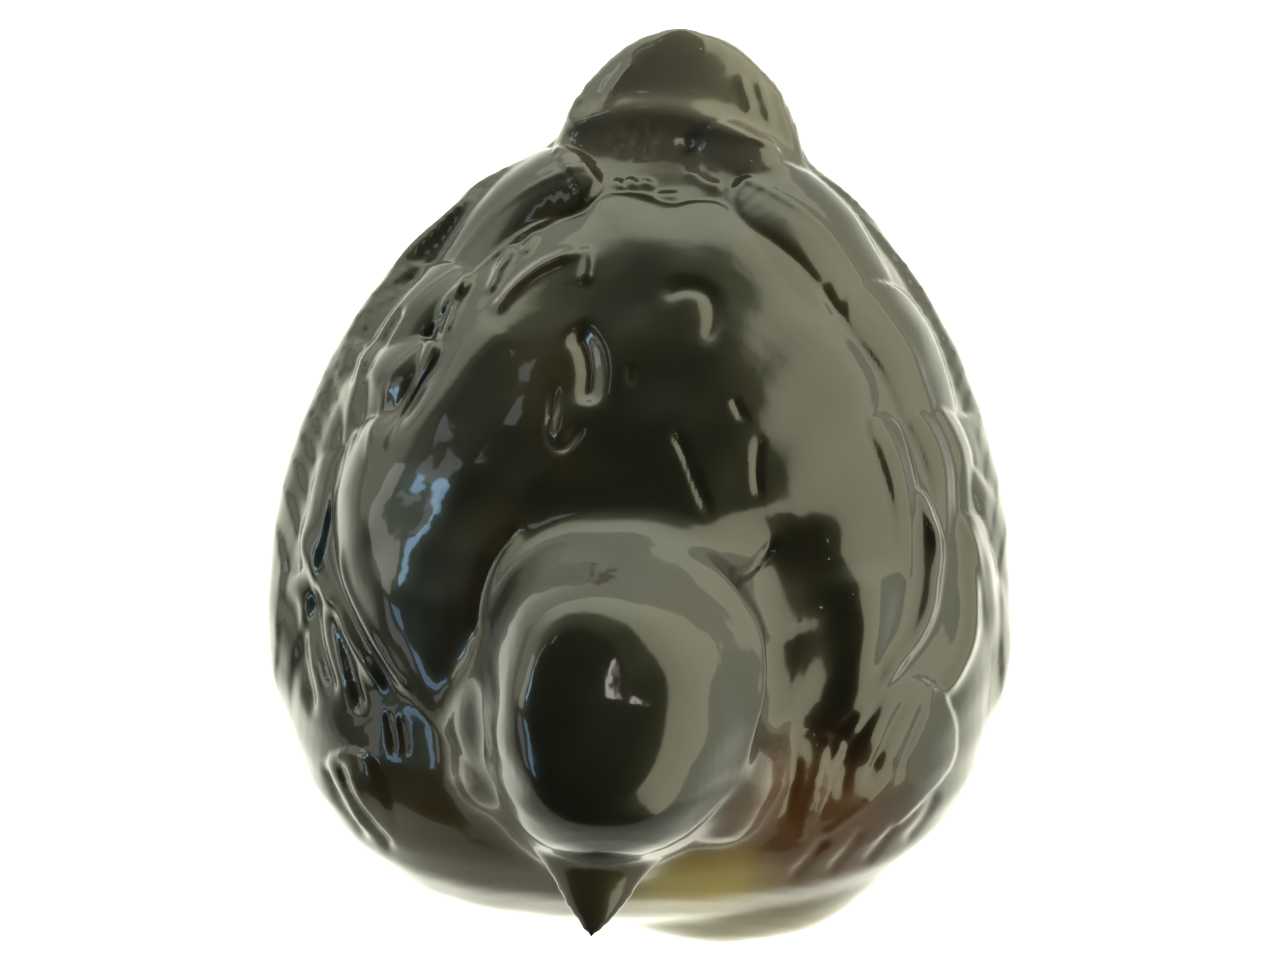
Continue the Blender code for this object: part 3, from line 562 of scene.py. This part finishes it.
def nearest_on_line(line, across, along):
    """Distance to the line, and how far along it the nearest place is, in steps of its points."""
    best = np.full(len(across), np.inf)
    where = np.zeros(len(across))
    for k, (start, end) in enumerate(zip(line, line[1:])):
        step = end[:2] - start[:2]
        rel_x, rel_y = across - start[0], along - start[1]
        way = np.clip((rel_x * step[0] + rel_y * step[1]) / (step @ step), 0.0, 1.0)
        distance = np.hypot(rel_x - way * step[0], rel_y - way * step[1])
        closer = distance < best
        best[closer] = distance[closer]
        where[closer] = k + way[closer]
    return best, where


def inside_line(line, across, along):
    """True for the places inside a closed line."""
    inside = np.zeros(len(across), dtype=bool)
    for start, end in zip(line, line[1:]):
        if start[1] == end[1]:
            continue
        spans = (start[1] > along) != (end[1] > along)
        crossing = start[0] + (along - start[1]) * (end[0] - start[0]) / (end[1] - start[1])
        inside ^= spans & (across < crossing)
    return inside


def neck_share(obj):
    """1 on the line round the neck, falling to 0 away from it, for each point of the skin."""
    points = read_places(obj, "co") / MM
    distance, _ = nearest_on_line(smooth_line(NECK_LINE), *layout_place(points))
    return np.exp(-((distance / NECK_SOFTNESS) ** 2)) * (points[:, 2] > NECK_LOWEST)


def flank_share(obj):
    """1 where the skin is steep, falling to 0 where it is level."""
    return 1.0 - smoothstep(read_places(obj, "normal")[:, 2], *FLANK_STEEPNESS)


def mantle_height(across, along):
    """The mantle rolls down to its edge; past the edge lies the bed of the wing feathers."""
    line = smooth_line(MANTLE_OUTLINE, 5, closed=True)
    distance, where = nearest_on_line(line, across, along)
    drop = np.interp(where, np.arange(len(line)), line[:, 2])
    roll = np.interp(where, np.arange(len(line)), line[:, 3])
    inside = inside_line(line, across, along)
    rolled = -drop * ROLLED_SHARE * np.clip(1.0 - distance / roll, 0.0, 1.0) ** 2
    bed = -drop * (1.0 - smoothstep(distance, BED_START, BED_WIDTH))
    bed += drop * (1.0 - ROLLED_SHARE) * (1.0 - smoothstep(distance, 0.0, FEATHER_EDGE))
    return np.where(inside, rolled, bed)


def feather_height(feather, across, along):
    """How far one feather stands out: nothing at its root, most before its round tip, and a crisp edge."""
    root, tip = np.array(feather.root), np.array(feather.tip)
    length = np.linalg.norm(tip - root)
    axis = (tip - root) / length
    rel_x, rel_y = across - root[0], along - root[1]
    way = (rel_x * axis[0] + rel_y * axis[1]) / length
    side = axis[0] * rel_y - axis[1] * rel_x - feather.bow * 4.0 * way * (1.0 - way)
    rounding = min(FEATHER_ROUND_MOST, FEATHER_ROUND_SHARE * feather.half_width / length)
    into_tip = np.clip((way - (1.0 - rounding)) / rounding, 0.0, 1.0)
    widening = FEATHER_ROOT_WIDTH + FEATHER_WIDENING * way / (1.0 - rounding)
    half_width = feather.half_width * np.where(
        into_tip > 0.0, np.sqrt(np.clip(1.0 - into_tip**2, 0.0, 1.0)), widening)
    inside = np.minimum(half_width - np.abs(side), (1.0 - way) * length)
    edge = smoothstep(inside, 0.0, FEATHER_EDGE) * (way > 0.0) * (way < 1.0)
    outward = side * math.copysign(1.0, feather.bow)
    fall = np.where(outward > 0.0, FEATHER_CROWN, FEATHER_INNER_CROWN)
    crown = 1.0 - fall * np.clip(np.abs(side) / feather.half_width, 0.0, 1.0) ** 2
    shaft = SHAFT_HEIGHT * np.exp(-((side / SHAFT_WIDTH) ** 2))
    past_top = np.clip((way - FEATHER_TOP_WAY) / (1.0 - FEATHER_TOP_WAY), 0.0, 1.0)
    rise = smoothstep(way, 0.0, FEATHER_TOP_WAY) * (1.0 - (1.0 - FEATHER_TIP_SHARE) * past_top**2)
    return (feather.lift * rise * crown + shaft) * edge


def stroke_height(stroke, across, along):
    """A ridge, or a groove where the height is negative, that fades out at both ends."""
    line = smooth_line(stroke.points)
    low = line.min(axis=0) - STROKE_REACH * stroke.half_width
    high = line.max(axis=0) + STROKE_REACH * stroke.half_width
    near = np.flatnonzero((across > low[0]) & (across < high[0]) & (along > low[1]) & (along < high[1]))
    result = np.zeros(len(across))
    distance, where = nearest_on_line(line, across[near], along[near])
    share = where / (len(line) - 1)
    fade = smoothstep(np.minimum(share, 1.0 - share), 0.0, STROKE_FADE)
    result[near] = stroke.height * fade * np.exp(-((distance / stroke.half_width) ** 2))
    return result


def rump_hollow(across, along):
    reach = np.hypot((across - RUMP_HOLLOW_CENTRE[0]) / RUMP_HOLLOW_HALF[0],
                     (along - RUMP_HOLLOW_CENTRE[1]) / RUMP_HOLLOW_HALF[1])
    return -RUMP_HOLLOW_DEPTH * (1.0 - smoothstep(reach, *RUMP_HOLLOW_EDGE))


def wing_side(points):
    """The wing's proud lower edge and the long feathers along it, on both sides."""
    way = np.clip((points[:, 1] - WING_FRONT_Y) / (WING_REAR_Y - WING_FRONT_Y), 0.0, 1.0)
    edge = (WING_EDGE_FRONT_Z + (WING_EDGE_REAR_Z - WING_EDGE_FRONT_Z) * way
            - WING_EDGE_DIP * np.sin(math.pi * way**WING_DIP_SKEW))
    above = points[:, 2] - edge
    before_end = 1.0 - smoothstep(points[:, 1], WING_END_Y, WING_END_Y + WING_END_FADE)
    behind_front = smoothstep(way, 0.0, WING_FRONT_FADE)
    height = WING_PROUD * smoothstep(above, 0.0, WING_EDGE_SOFTNESS) * behind_front * before_end
    rear = smoothstep(way, *FLIGHT_FEATHER_START) * before_end
    for k in FLIGHT_FEATHER_ROWS:
        offset = above - k * FLIGHT_FEATHER_GAP * (1.0 - FLIGHT_FEATHER_NARROWING * way)
        height -= FLIGHT_GROOVE_DEPTH * rear * np.exp(-((offset / FLIGHT_GROOVE_WIDTH) ** 2))
    return height


def wobble(points):
    """The slight unevenness of a shape that was pressed and sponged by hand."""
    x, y, z = points.T
    return WOBBLE * sum(np.sin(a * x + b * y + c * z + phase) for a, b, c, phase in WOBBLE_WAVES)


def relief_height(points, normals):
    """How far the carved feathers move each point along its normal, in millimetres."""
    across, along = layout_place(points)
    height = np.zeros(len(points))
    for feather in LEFT_WING + RIGHT_WING + RUMP:
        height = np.maximum(height, feather_height(feather, across, along))
    head = smoothstep(points[:, 2], CARVED_UP_TO, CARVED_UP_TO + CARVING_FADE)
    height += mantle_height(across, along)
    for stroke in STROKES:
        height += stroke_height(stroke, across, along)
    height += rump_hollow(across, along)
    facing = normals[:, 2] * math.cos(LAYOUT_LEAN) - normals[:, 1] * math.sin(LAYOUT_LEAN)
    seen = smoothstep(facing, FACING_LEAST, FACING_FULL) * (1.0 - head)
    on_side = smoothstep(np.abs(normals[:, 0]), *WING_FACING) * (1.0 - smoothstep(facing, *WING_HIDDEN))
    on_body = points[:, 2] < WING_TOP_Z
    return height * seen + wing_side(points) * on_side * on_body + wobble(points)


def carve(obj):
    """Moves the skin's points by the relief."""
    points, normals = read_places(obj, "co"), read_places(obj, "normal")
    points += normals * relief_height(points / MM, normals)[:, None] * MM
    obj.data.vertices.foreach_set("co", points.ravel())
    obj.data.update()


def cut_foot(obj):
    """Cuts the flat foot at z = 0 and moves the middle of the foot to the origin."""
    bm = bmesh.new()
    bm.from_mesh(obj.data)
    cut = bmesh.ops.bisect_plane(bm, geom=bm.verts[:] + bm.edges[:] + bm.faces[:], dist=1e-7,
                                 plane_co=(0, 0, 0), plane_no=(0, 0, -1), clear_outer=True)
    edges = [e for e in cut["geom_cut"] if isinstance(e, bmesh.types.BMEdge)]
    bmesh.ops.edgeloop_fill(bm, edges=edges)
    bmesh.ops.translate(bm, vec=(0.0, -WIDEST_Y * MM, 0.0), verts=bm.verts)
    bm.to_mesh(obj.data)
    bm.free()


def make_bird():
    head = join("head", make_head_masses())
    fuse(head, HEAD_STEPS)
    bird = join("glazed_bird", [head, *make_soft_masses()])
    fuse(bird, BLEND_STEPS)
    soften(bird, NECK_STEPS, neck_share(bird))
    bird = join("glazed_bird", [bird, *make_sharp_masses()])
    fuse(bird, SEAM_STEPS)
    refine(bird)
    carve(bird)
    soften(bird, WORN_STEPS)
    soften(bird, FLANK_STEPS, flank_share(bird))
    cut_foot(bird)
    bird.name = "glazed_bird"
    bird.data.shade_smooth()
    bird.data.materials.clear()
    bird.data.materials.append(make_glaze())
    return bird


def add_node(tree, kind, **inputs):
    node = tree.nodes.new(kind)
    for name, value in inputs.items():
        socket = node.inputs[name.replace("_", " ")]
        if isinstance(value, bpy.types.NodeSocket):
            tree.links.new(value, socket)
        else:
            socket.default_value = value
    return node


def calculate(tree, operation, first, second=0.0):
    node = tree.nodes.new("ShaderNodeMath")
    node.operation = operation
    for socket, value in zip(node.inputs, (first, second)):
        if isinstance(value, bpy.types.NodeSocket):
            tree.links.new(value, socket)
        else:
            socket.default_value = value
    return node.outputs[0]


def flat_length(tree, x, y):
    """The length of (x, y)."""
    squares = calculate(tree, "ADD", calculate(tree, "MULTIPLY", x, x), calculate(tree, "MULTIPLY", y, y))
    return calculate(tree, "SQRT", squares)


def blend_colours(tree, share, first, second):
    node = tree.nodes.new("ShaderNodeMix")
    node.data_type = "RGBA"
    for socket, value in ((node.inputs[0], share), (node.inputs[6], first), (node.inputs[7], second)):
        if isinstance(value, bpy.types.NodeSocket):
            tree.links.new(value, socket)
        else:
            socket.default_value = value
    return node.outputs[2]


def soft_step(tree, value, low, high):
    node = add_node(tree, "ShaderNodeMapRange", Value=value)
    node.interpolation_type = "SMOOTHSTEP"
    node.inputs["From Min"].default_value = low
    node.inputs["From Max"].default_value = high
    return node.outputs[0]


def near_place(tree, position, centre, radii, softness):
    """1 inside an ellipsoid of the radii round a place in millimetres, falling to 0 over the softness."""
    offset = tree.nodes.new("ShaderNodeVectorMath")
    offset.operation = "SUBTRACT"
    tree.links.new(position, offset.inputs[0])
    offset.inputs[1].default_value = [c * MM for c in centre]
    scaled = tree.nodes.new("ShaderNodeVectorMath")
    scaled.operation = "DIVIDE"
    tree.links.new(offset.outputs[0], scaled.inputs[0])
    scaled.inputs[1].default_value = [r * MM for r in radii]
    length = tree.nodes.new("ShaderNodeVectorMath")
    length.operation = "LENGTH"
    tree.links.new(scaled.outputs[0], length.inputs[0])
    return soft_step(tree, length.outputs["Value"], 1.0 + softness, 1.0 - softness)


# Colours of the glaze, dark over most of the bird and thinner on the breast and the tail
OLIVE_BLACK = (0.004, 0.004, 0.002, 1.0)
OLIVE_BROWN = (0.018, 0.014, 0.006, 1.0)
TAIL_BROWN = (0.062, 0.056, 0.042, 1.0)
BREAST_BROWN = (0.050, 0.019, 0.005, 1.0)
OCHRE = (0.22, 0.165, 0.015, 1.0)
CREAM = (0.18, 0.155, 0.065, 1.0)
LEFT_BREAST = (0.036, 0.024, 0.008, 1.0)
# Places of the colours, from the middle of the foot, in millimetres, with their radii
BROWN_PLACE = ((13.0, -25.0, 37.0), (12.0, 10.0, 11.0))
LEFT_BREAST_PLACE = ((-14.0, -24.0, 36.0), (13.0, 10.0, 12.0))
OCHRE_PLACE = ((5.2, -28.5, 34.0), (5.6, 4.6, 5.2))
CREAM_PLACE = ((5.0, -31.0, 16.0), (14.0, 12.0, 16.0))
TAIL_PLACE = ((3.8, 48.0, 34.0), (13.0, 10.0, 9.0))
# Each place with its colour and how soft its edge is; a later one lies over the ones before it
PATCHES = [
    (TAIL_PLACE, TAIL_BROWN, 0.35),
    (LEFT_BREAST_PLACE, LEFT_BREAST, 0.5),
    (CREAM_PLACE, CREAM, 0.45),
    (BROWN_PLACE, BREAST_BROWN, 0.5),
    (OCHRE_PLACE, OCHRE, 0.8),
]
# How far the edges of the colours waver, and the noises that make the glaze uneven
WAVER = 0.006
CLOUD = {"Scale": 90.0, "Detail": 4.0, "Roughness": 0.55}
MOTTLE = {"Scale": 45.0, "Detail": 3.0, "Roughness": 0.6}
MOTTLE_RANGE = (0.45, 0.75)
DULLNESS = {"Scale": 300.0, "Detail": 2.0, "Roughness": 0.5}
DULLNESS_RANGE = (0.26, 0.34)
RIPPLE = {"Scale": 170.0, "Detail": 3.0, "Roughness": 0.5}
RIPPLE_STRENGTH = 0.35
RIPPLE_DEPTH = 0.0002
# Gloss: a softer base under a clear, sharp coat
GLASS_IOR = 1.5
BASE_SPECULAR = 0.28
BASE_TINT = (0.97, 1.0, 0.68, 1.0)
COAT_WEIGHT = 0.5
COAT_ROUGHNESS = 0.06


def make_glaze():
    """Dark olive glaze that thins to brown, ochre and cream on the breast, under a clear coat."""
    material = bpy.data.materials.new("glaze")
    material.use_nodes = True
    tree = material.node_tree
    shader = tree.nodes["Principled BSDF"]
    position = tree.nodes.new("ShaderNodeTexCoord").outputs["Object"]
    cloud = add_node(tree, "ShaderNodeTexNoise", Vector=position, **CLOUD)
    shift = tree.nodes.new("ShaderNodeVectorMath")
    shift.operation = "MULTIPLY_ADD"
    tree.links.new(cloud.outputs["Color"], shift.inputs[0])
    shift.inputs[1].default_value = (WAVER,) * 3
    centred = tree.nodes.new("ShaderNodeVectorMath")
    centred.operation = "SUBTRACT"
    tree.links.new(position, centred.inputs[0])
    centred.inputs[1].default_value = (WAVER / 2.0,) * 3
    tree.links.new(centred.outputs[0], shift.inputs[2])
    wavering = shift.outputs[0]
    patches = add_node(tree, "ShaderNodeTexNoise", Vector=position, **MOTTLE)
    mottled = soft_step(tree, patches.outputs["Fac"], *MOTTLE_RANGE)
    colour = blend_colours(tree, mottled, OLIVE_BLACK, OLIVE_BROWN)
    for place, shade, softness in PATCHES:
        colour = blend_colours(tree, near_place(tree, wavering, *place, softness), colour, shade)
    tree.links.new(colour, shader.inputs["Base Color"])
    rough = add_node(tree, "ShaderNodeTexNoise", Vector=position, **DULLNESS)
    spread = add_node(tree, "ShaderNodeMapRange", Value=rough.outputs["Fac"])
    spread.inputs["To Min"].default_value = DULLNESS_RANGE[0]
    spread.inputs["To Max"].default_value = DULLNESS_RANGE[1]
    tree.links.new(spread.outputs[0], shader.inputs["Roughness"])
    shader.inputs["IOR"].default_value = GLASS_IOR
    shader.inputs["Specular IOR Level"].default_value = BASE_SPECULAR
    shader.inputs["Specular Tint"].default_value = BASE_TINT
    shader.inputs["Coat Weight"].default_value = COAT_WEIGHT
    shader.inputs["Coat Roughness"].default_value = COAT_ROUGHNESS
    shader.inputs["Coat IOR"].default_value = GLASS_IOR
    ripple = add_node(tree, "ShaderNodeTexNoise", Vector=position, **RIPPLE)
    bump = add_node(tree, "ShaderNodeBump", Height=ripple.outputs["Fac"], Strength=RIPPLE_STRENGTH)
    bump.inputs["Distance"].default_value = RIPPLE_DEPTH
    tree.links.new(bump.outputs[0], shader.inputs["Normal"])
    tree.links.new(bump.outputs[0], shader.inputs["Coat Normal"])
    return material


# Paper under the bird, with distances in metres. What the glaze mirrors of it dims from near to far all
# round. It also turns dark from white to dark in front and on the bird's right, and sooner straight in front
FLOOR_SIZE = 3.0
PAPER_COLOUR = (0.8, 0.8, 0.8, 1.0)
PAPER_ROUGHNESS = 0.9
PAPER_LIGHT = (1.0, 1.0, 0.85, 1.0)
PAPER_GLOW = 2.4
PAPER_WHITE = 0.12
PAPER_DARK = 0.3
SIDE_EDGE = 0.1
FRONT_WHITE = 0.02
FRONT_DARK = 0.075
FRONT_SPREAD = 0.6
FRONT_EDGE = 0.02
PAPER_NEAR = 0.06
PAPER_FAR = 0.15
FAR_LOSS = 0.7


def make_floor():
    """White all over to the eye. What the glaze mirrors is white close by, dimmer farther off all round, and
    dark in front and on the bird's right."""
    bm = bmesh.new()
    bmesh.ops.create_grid(bm, x_segments=1, y_segments=1, size=FLOOR_SIZE)
    floor = link_mesh("floor", bm)
    material = bpy.data.materials.new("white_paper")
    material.use_nodes = True
    tree = material.node_tree
    shader = tree.nodes["Principled BSDF"]
    shader.inputs["Base Color"].default_value = PAPER_COLOUR
    shader.inputs["Roughness"].default_value = PAPER_ROUGHNESS
    shader.inputs["Emission Color"].default_value = PAPER_LIGHT
    position = tree.nodes.new("ShaderNodeTexCoord").outputs["Object"]
    split = add_node(tree, "ShaderNodeSeparateXYZ", Vector=position)
    x, y, _ = split.outputs
    distance = flat_length(tree, x, y)
    aside = calculate(tree, "MULTIPLY", calculate(tree, "ABSOLUTE", x), FRONT_SPREAD)
    in_front = soft_step(tree, calculate(tree, "ADD", y, aside), FRONT_EDGE, -FRONT_EDGE)
    lost_in_front = calculate(tree, "MULTIPLY", soft_step(tree, distance, FRONT_WHITE, FRONT_DARK), in_front)
    dark_side = soft_step(tree, calculate(tree, "ADD", x, y), SIDE_EDGE, -SIDE_EDGE)
    lost = calculate(tree, "MULTIPLY", soft_step(tree, distance, PAPER_WHITE, PAPER_DARK), dark_side)
    lost = calculate(tree, "MAXIMUM", lost, lost_in_front)
    far = calculate(tree, "MULTIPLY", soft_step(tree, distance, PAPER_NEAR, PAPER_FAR), FAR_LOSS)
    kept = calculate(tree, "SUBTRACT", 1.0, calculate(tree, "MAXIMUM", lost, far))
    mirrored = calculate(tree, "MULTIPLY", kept, PAPER_GLOW)
    seen = tree.nodes.new("ShaderNodeLightPath").outputs["Is Camera Ray"]
    strength = calculate(tree, "MAXIMUM", mirrored, calculate(tree, "MULTIPLY", seen, PAPER_GLOW))
    tree.links.new(strength, shader.inputs["Emission Strength"])
    floor.data.materials.append(material)


# Light tent: how bright its bright, dim and dark parts are, and where they end
TENT_BRIGHT = 3.9
TENT_GLOW = 1.3
TENT_GLOW_TOP = 0.3
TENT_DIM = 0.45
TENT_DARK = 0.08
TENT_HAZE = 0.3
LEFT_LOSS = 0.45
TENT_REAR_COLOUR = (0.97, 1.0, 0.84, 1.0)
TENT_RIGHT_COLOUR = (1.0, 0.98, 0.78, 1.0)
RIGHT_WALL_SLOPE = 0.67
RIGHT_WALL_SOFTNESS = 0.08
RIGHT_WALL_FRONT = 1.2
RIGHT_WALL_END = 0.05
REAR_WALL_SIDE = 0.2
REAR_WALL_END = 0.1
REAR_WALL_SLOPE = 2.05
REAR_WALL_SOFTNESS = 0.3
REAR_DIM_SLOPE = 1.25
REAR_DIM_SOFTNESS = 0.05
LEFT_LOSS_RANGE = (-0.3, -0.8)
GLOW_RANGE = (-0.2, 0.3)
HAZE_RANGE = (0.5, 0.9)
COLOUR_RANGE = (0.1, 0.6)
BACKDROP = 1.0


def make_world():
    """A light tent: white on the right and at the rear, and dark overhead, in front and on the left."""
    world = bpy.data.worlds.new("light_tent")
    bpy.context.scene.world = world
    world.use_nodes = True
    tree = world.node_tree
    direction = tree.nodes.new("ShaderNodeTexCoord").outputs["Generated"]
    split = add_node(tree, "ShaderNodeSeparateXYZ", Vector=direction)
    x, y, z = split.outputs
    level = flat_length(tree, x, y)

    def below(reach, slope, softness):
        return soft_step(tree, calculate(tree, "SUBTRACT", reach, calculate(tree, "MULTIPLY", z, slope)),
                         -softness, softness)

    past_front = calculate(tree, "ADD", y, calculate(tree, "MULTIPLY", x, RIGHT_WALL_FRONT))
    front_end = soft_step(tree, past_front, -RIGHT_WALL_END, RIGHT_WALL_END)
    right = calculate(tree, "MULTIPLY", below(x, RIGHT_WALL_SLOPE, RIGHT_WALL_SOFTNESS), front_end)
    past_side = calculate(tree, "SUBTRACT", y, calculate(tree, "MULTIPLY", level, REAR_WALL_SIDE))
    behind = soft_step(tree, past_side, -REAR_WALL_END, REAR_WALL_END)
    rear = calculate(tree, "MULTIPLY", below(level, REAR_WALL_SLOPE, REAR_WALL_SOFTNESS), behind)
    dim = calculate(tree, "MULTIPLY", below(level, REAR_DIM_SLOPE, REAR_DIM_SOFTNESS), behind)
    loss = calculate(tree, "MULTIPLY", soft_step(tree, x, *LEFT_LOSS_RANGE), LEFT_LOSS)
    rear = calculate(tree, "MULTIPLY", rear, calculate(tree, "SUBTRACT", 1.0, loss))
    bright = calculate(tree, "MULTIPLY", calculate(tree, "MAXIMUM", right, rear), TENT_BRIGHT)
    strength = calculate(tree, "MAXIMUM", bright, calculate(tree, "MULTIPLY", dim, TENT_DIM))
    glow = calculate(tree, "MULTIPLY", soft_step(tree, z, TENT_GLOW_TOP, 0.0),
                     calculate(tree, "MULTIPLY", soft_step(tree, y, *GLOW_RANGE), TENT_GLOW))
    strength = calculate(tree, "MAXIMUM", strength, glow)
    haze = calculate(tree, "MULTIPLY", soft_step(tree, y, *HAZE_RANGE), TENT_HAZE)
    strength = calculate(tree, "MAXIMUM", strength, calculate(tree, "ADD", haze, TENT_DARK))
    seen = tree.nodes.new("ShaderNodeLightPath").outputs["Is Camera Ray"]
    strength = calculate(tree, "MAXIMUM", strength, calculate(tree, "MULTIPLY", seen, BACKDROP))
    background = tree.nodes["Background"]
    shade = blend_colours(tree, soft_step(tree, x, *COLOUR_RANGE), TENT_REAR_COLOUR, TENT_RIGHT_COLOUR)
    tree.links.new(shade, background.inputs["Color"])
    tree.links.new(strength, background.inputs["Strength"])


# Lights: flat panels in metres from the middle of the foot, that face the place they light
LIT_PLACE = (0.0, 0.0, 0.045)
WINDOW_BLUE = (0.40, 0.68, 1.0)
PANEL_WHITE = (1.0, 0.97, 0.95)
LAMP_WHITE = (1.0, 0.95, 0.88)
HAZE_WHITE = (0.9, 0.95, 1.0)
Strip = namedtuple("Strip", "name start end width colour radiance")
STRIPS = [
    Strip("window", (-1.04, 0.50, 1.12), (-1.20, 0.30, 0.92), 0.10, WINDOW_BLUE, 14.0),
    Strip("low_window", (-1.19, -0.04, 0.80), (-1.15, -0.66, 0.58), 0.16, WINDOW_BLUE, 6.0),
    Strip("panel", (-1.20, 0.60, 0.72), (-1.27, 0.15, 0.62), 0.26, PANEL_WHITE, 4.0),
    Strip("low_panel", (-1.30, 0.04, 0.55), (-1.30, -0.45, 0.33), 0.20, PANEL_WHITE, 2.0),
    Strip("lamp", (0.33, 0.24, 1.1), (0.33, 0.18, 1.1), 0.02, LAMP_WHITE, 18.0),
    Strip("left_haze", (-0.81, 0.77, 1.05), (-1.10, 0.42, 0.98), 0.14, HAZE_WHITE, 2.6),
    Strip("rear_haze", (-0.45, 0.95, 1.13), (-0.55, 0.70, 1.25), 0.12, HAZE_WHITE, 2.6),
]


def light_strip(name, start, end, width, colour, radiance):
    """A flat panel from start to end that faces the bird, with its brightness given as radiance."""
    start, end = Vector(start), Vector(end)
    middle = (start + end) / 2.0
    length = (end - start).length
    light = bpy.data.lights.new(name, "AREA")
    light.shape = "RECTANGLE"
    light.size, light.size_y = width, length
    light.color = colour
    light.energy = radiance * math.pi * width * length
    obj = bpy.data.objects.new(name, light)
    bpy.context.scene.collection.objects.link(obj)
    back = (middle - Vector(LIT_PLACE)).normalized()
    along = (end - start).normalized()
    along = (along - back * along.dot(back)).normalized()
    turned = Matrix((along.cross(back), along, back)).transposed()
    obj.matrix_world = Matrix.Translation(middle) @ turned.to_4x4()


def make_lights():
    for strip in STRIPS:
        light_strip(*strip)


def make_camera():
    data = bpy.data.cameras.new("camera")
    camera = bpy.data.objects.new("camera", data)
    bpy.context.scene.collection.objects.link(camera)
    away = Vector((0.0, -math.cos(CAMERA_ELEVATION), math.sin(CAMERA_ELEVATION)))
    camera.location = Vector(CAMERA_TARGET) + away * CAMERA_DISTANCE
    camera.rotation_euler = (math.pi / 2.0 - CAMERA_ELEVATION, 0.0, 0.0)
    data.sensor_width = SENSOR_WIDTH
    data.lens = SENSOR_WIDTH * CAMERA_DISTANCE / FRAME_WIDTH
    data.clip_start = CLIP_START
    bpy.context.scene.camera = camera


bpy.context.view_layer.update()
make_camera()
bird = make_bird()
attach(bird, "root")
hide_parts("bird")
make_floor()
make_world()
make_lights()
bpy.context.scene.view_settings.view_transform = "Standard"
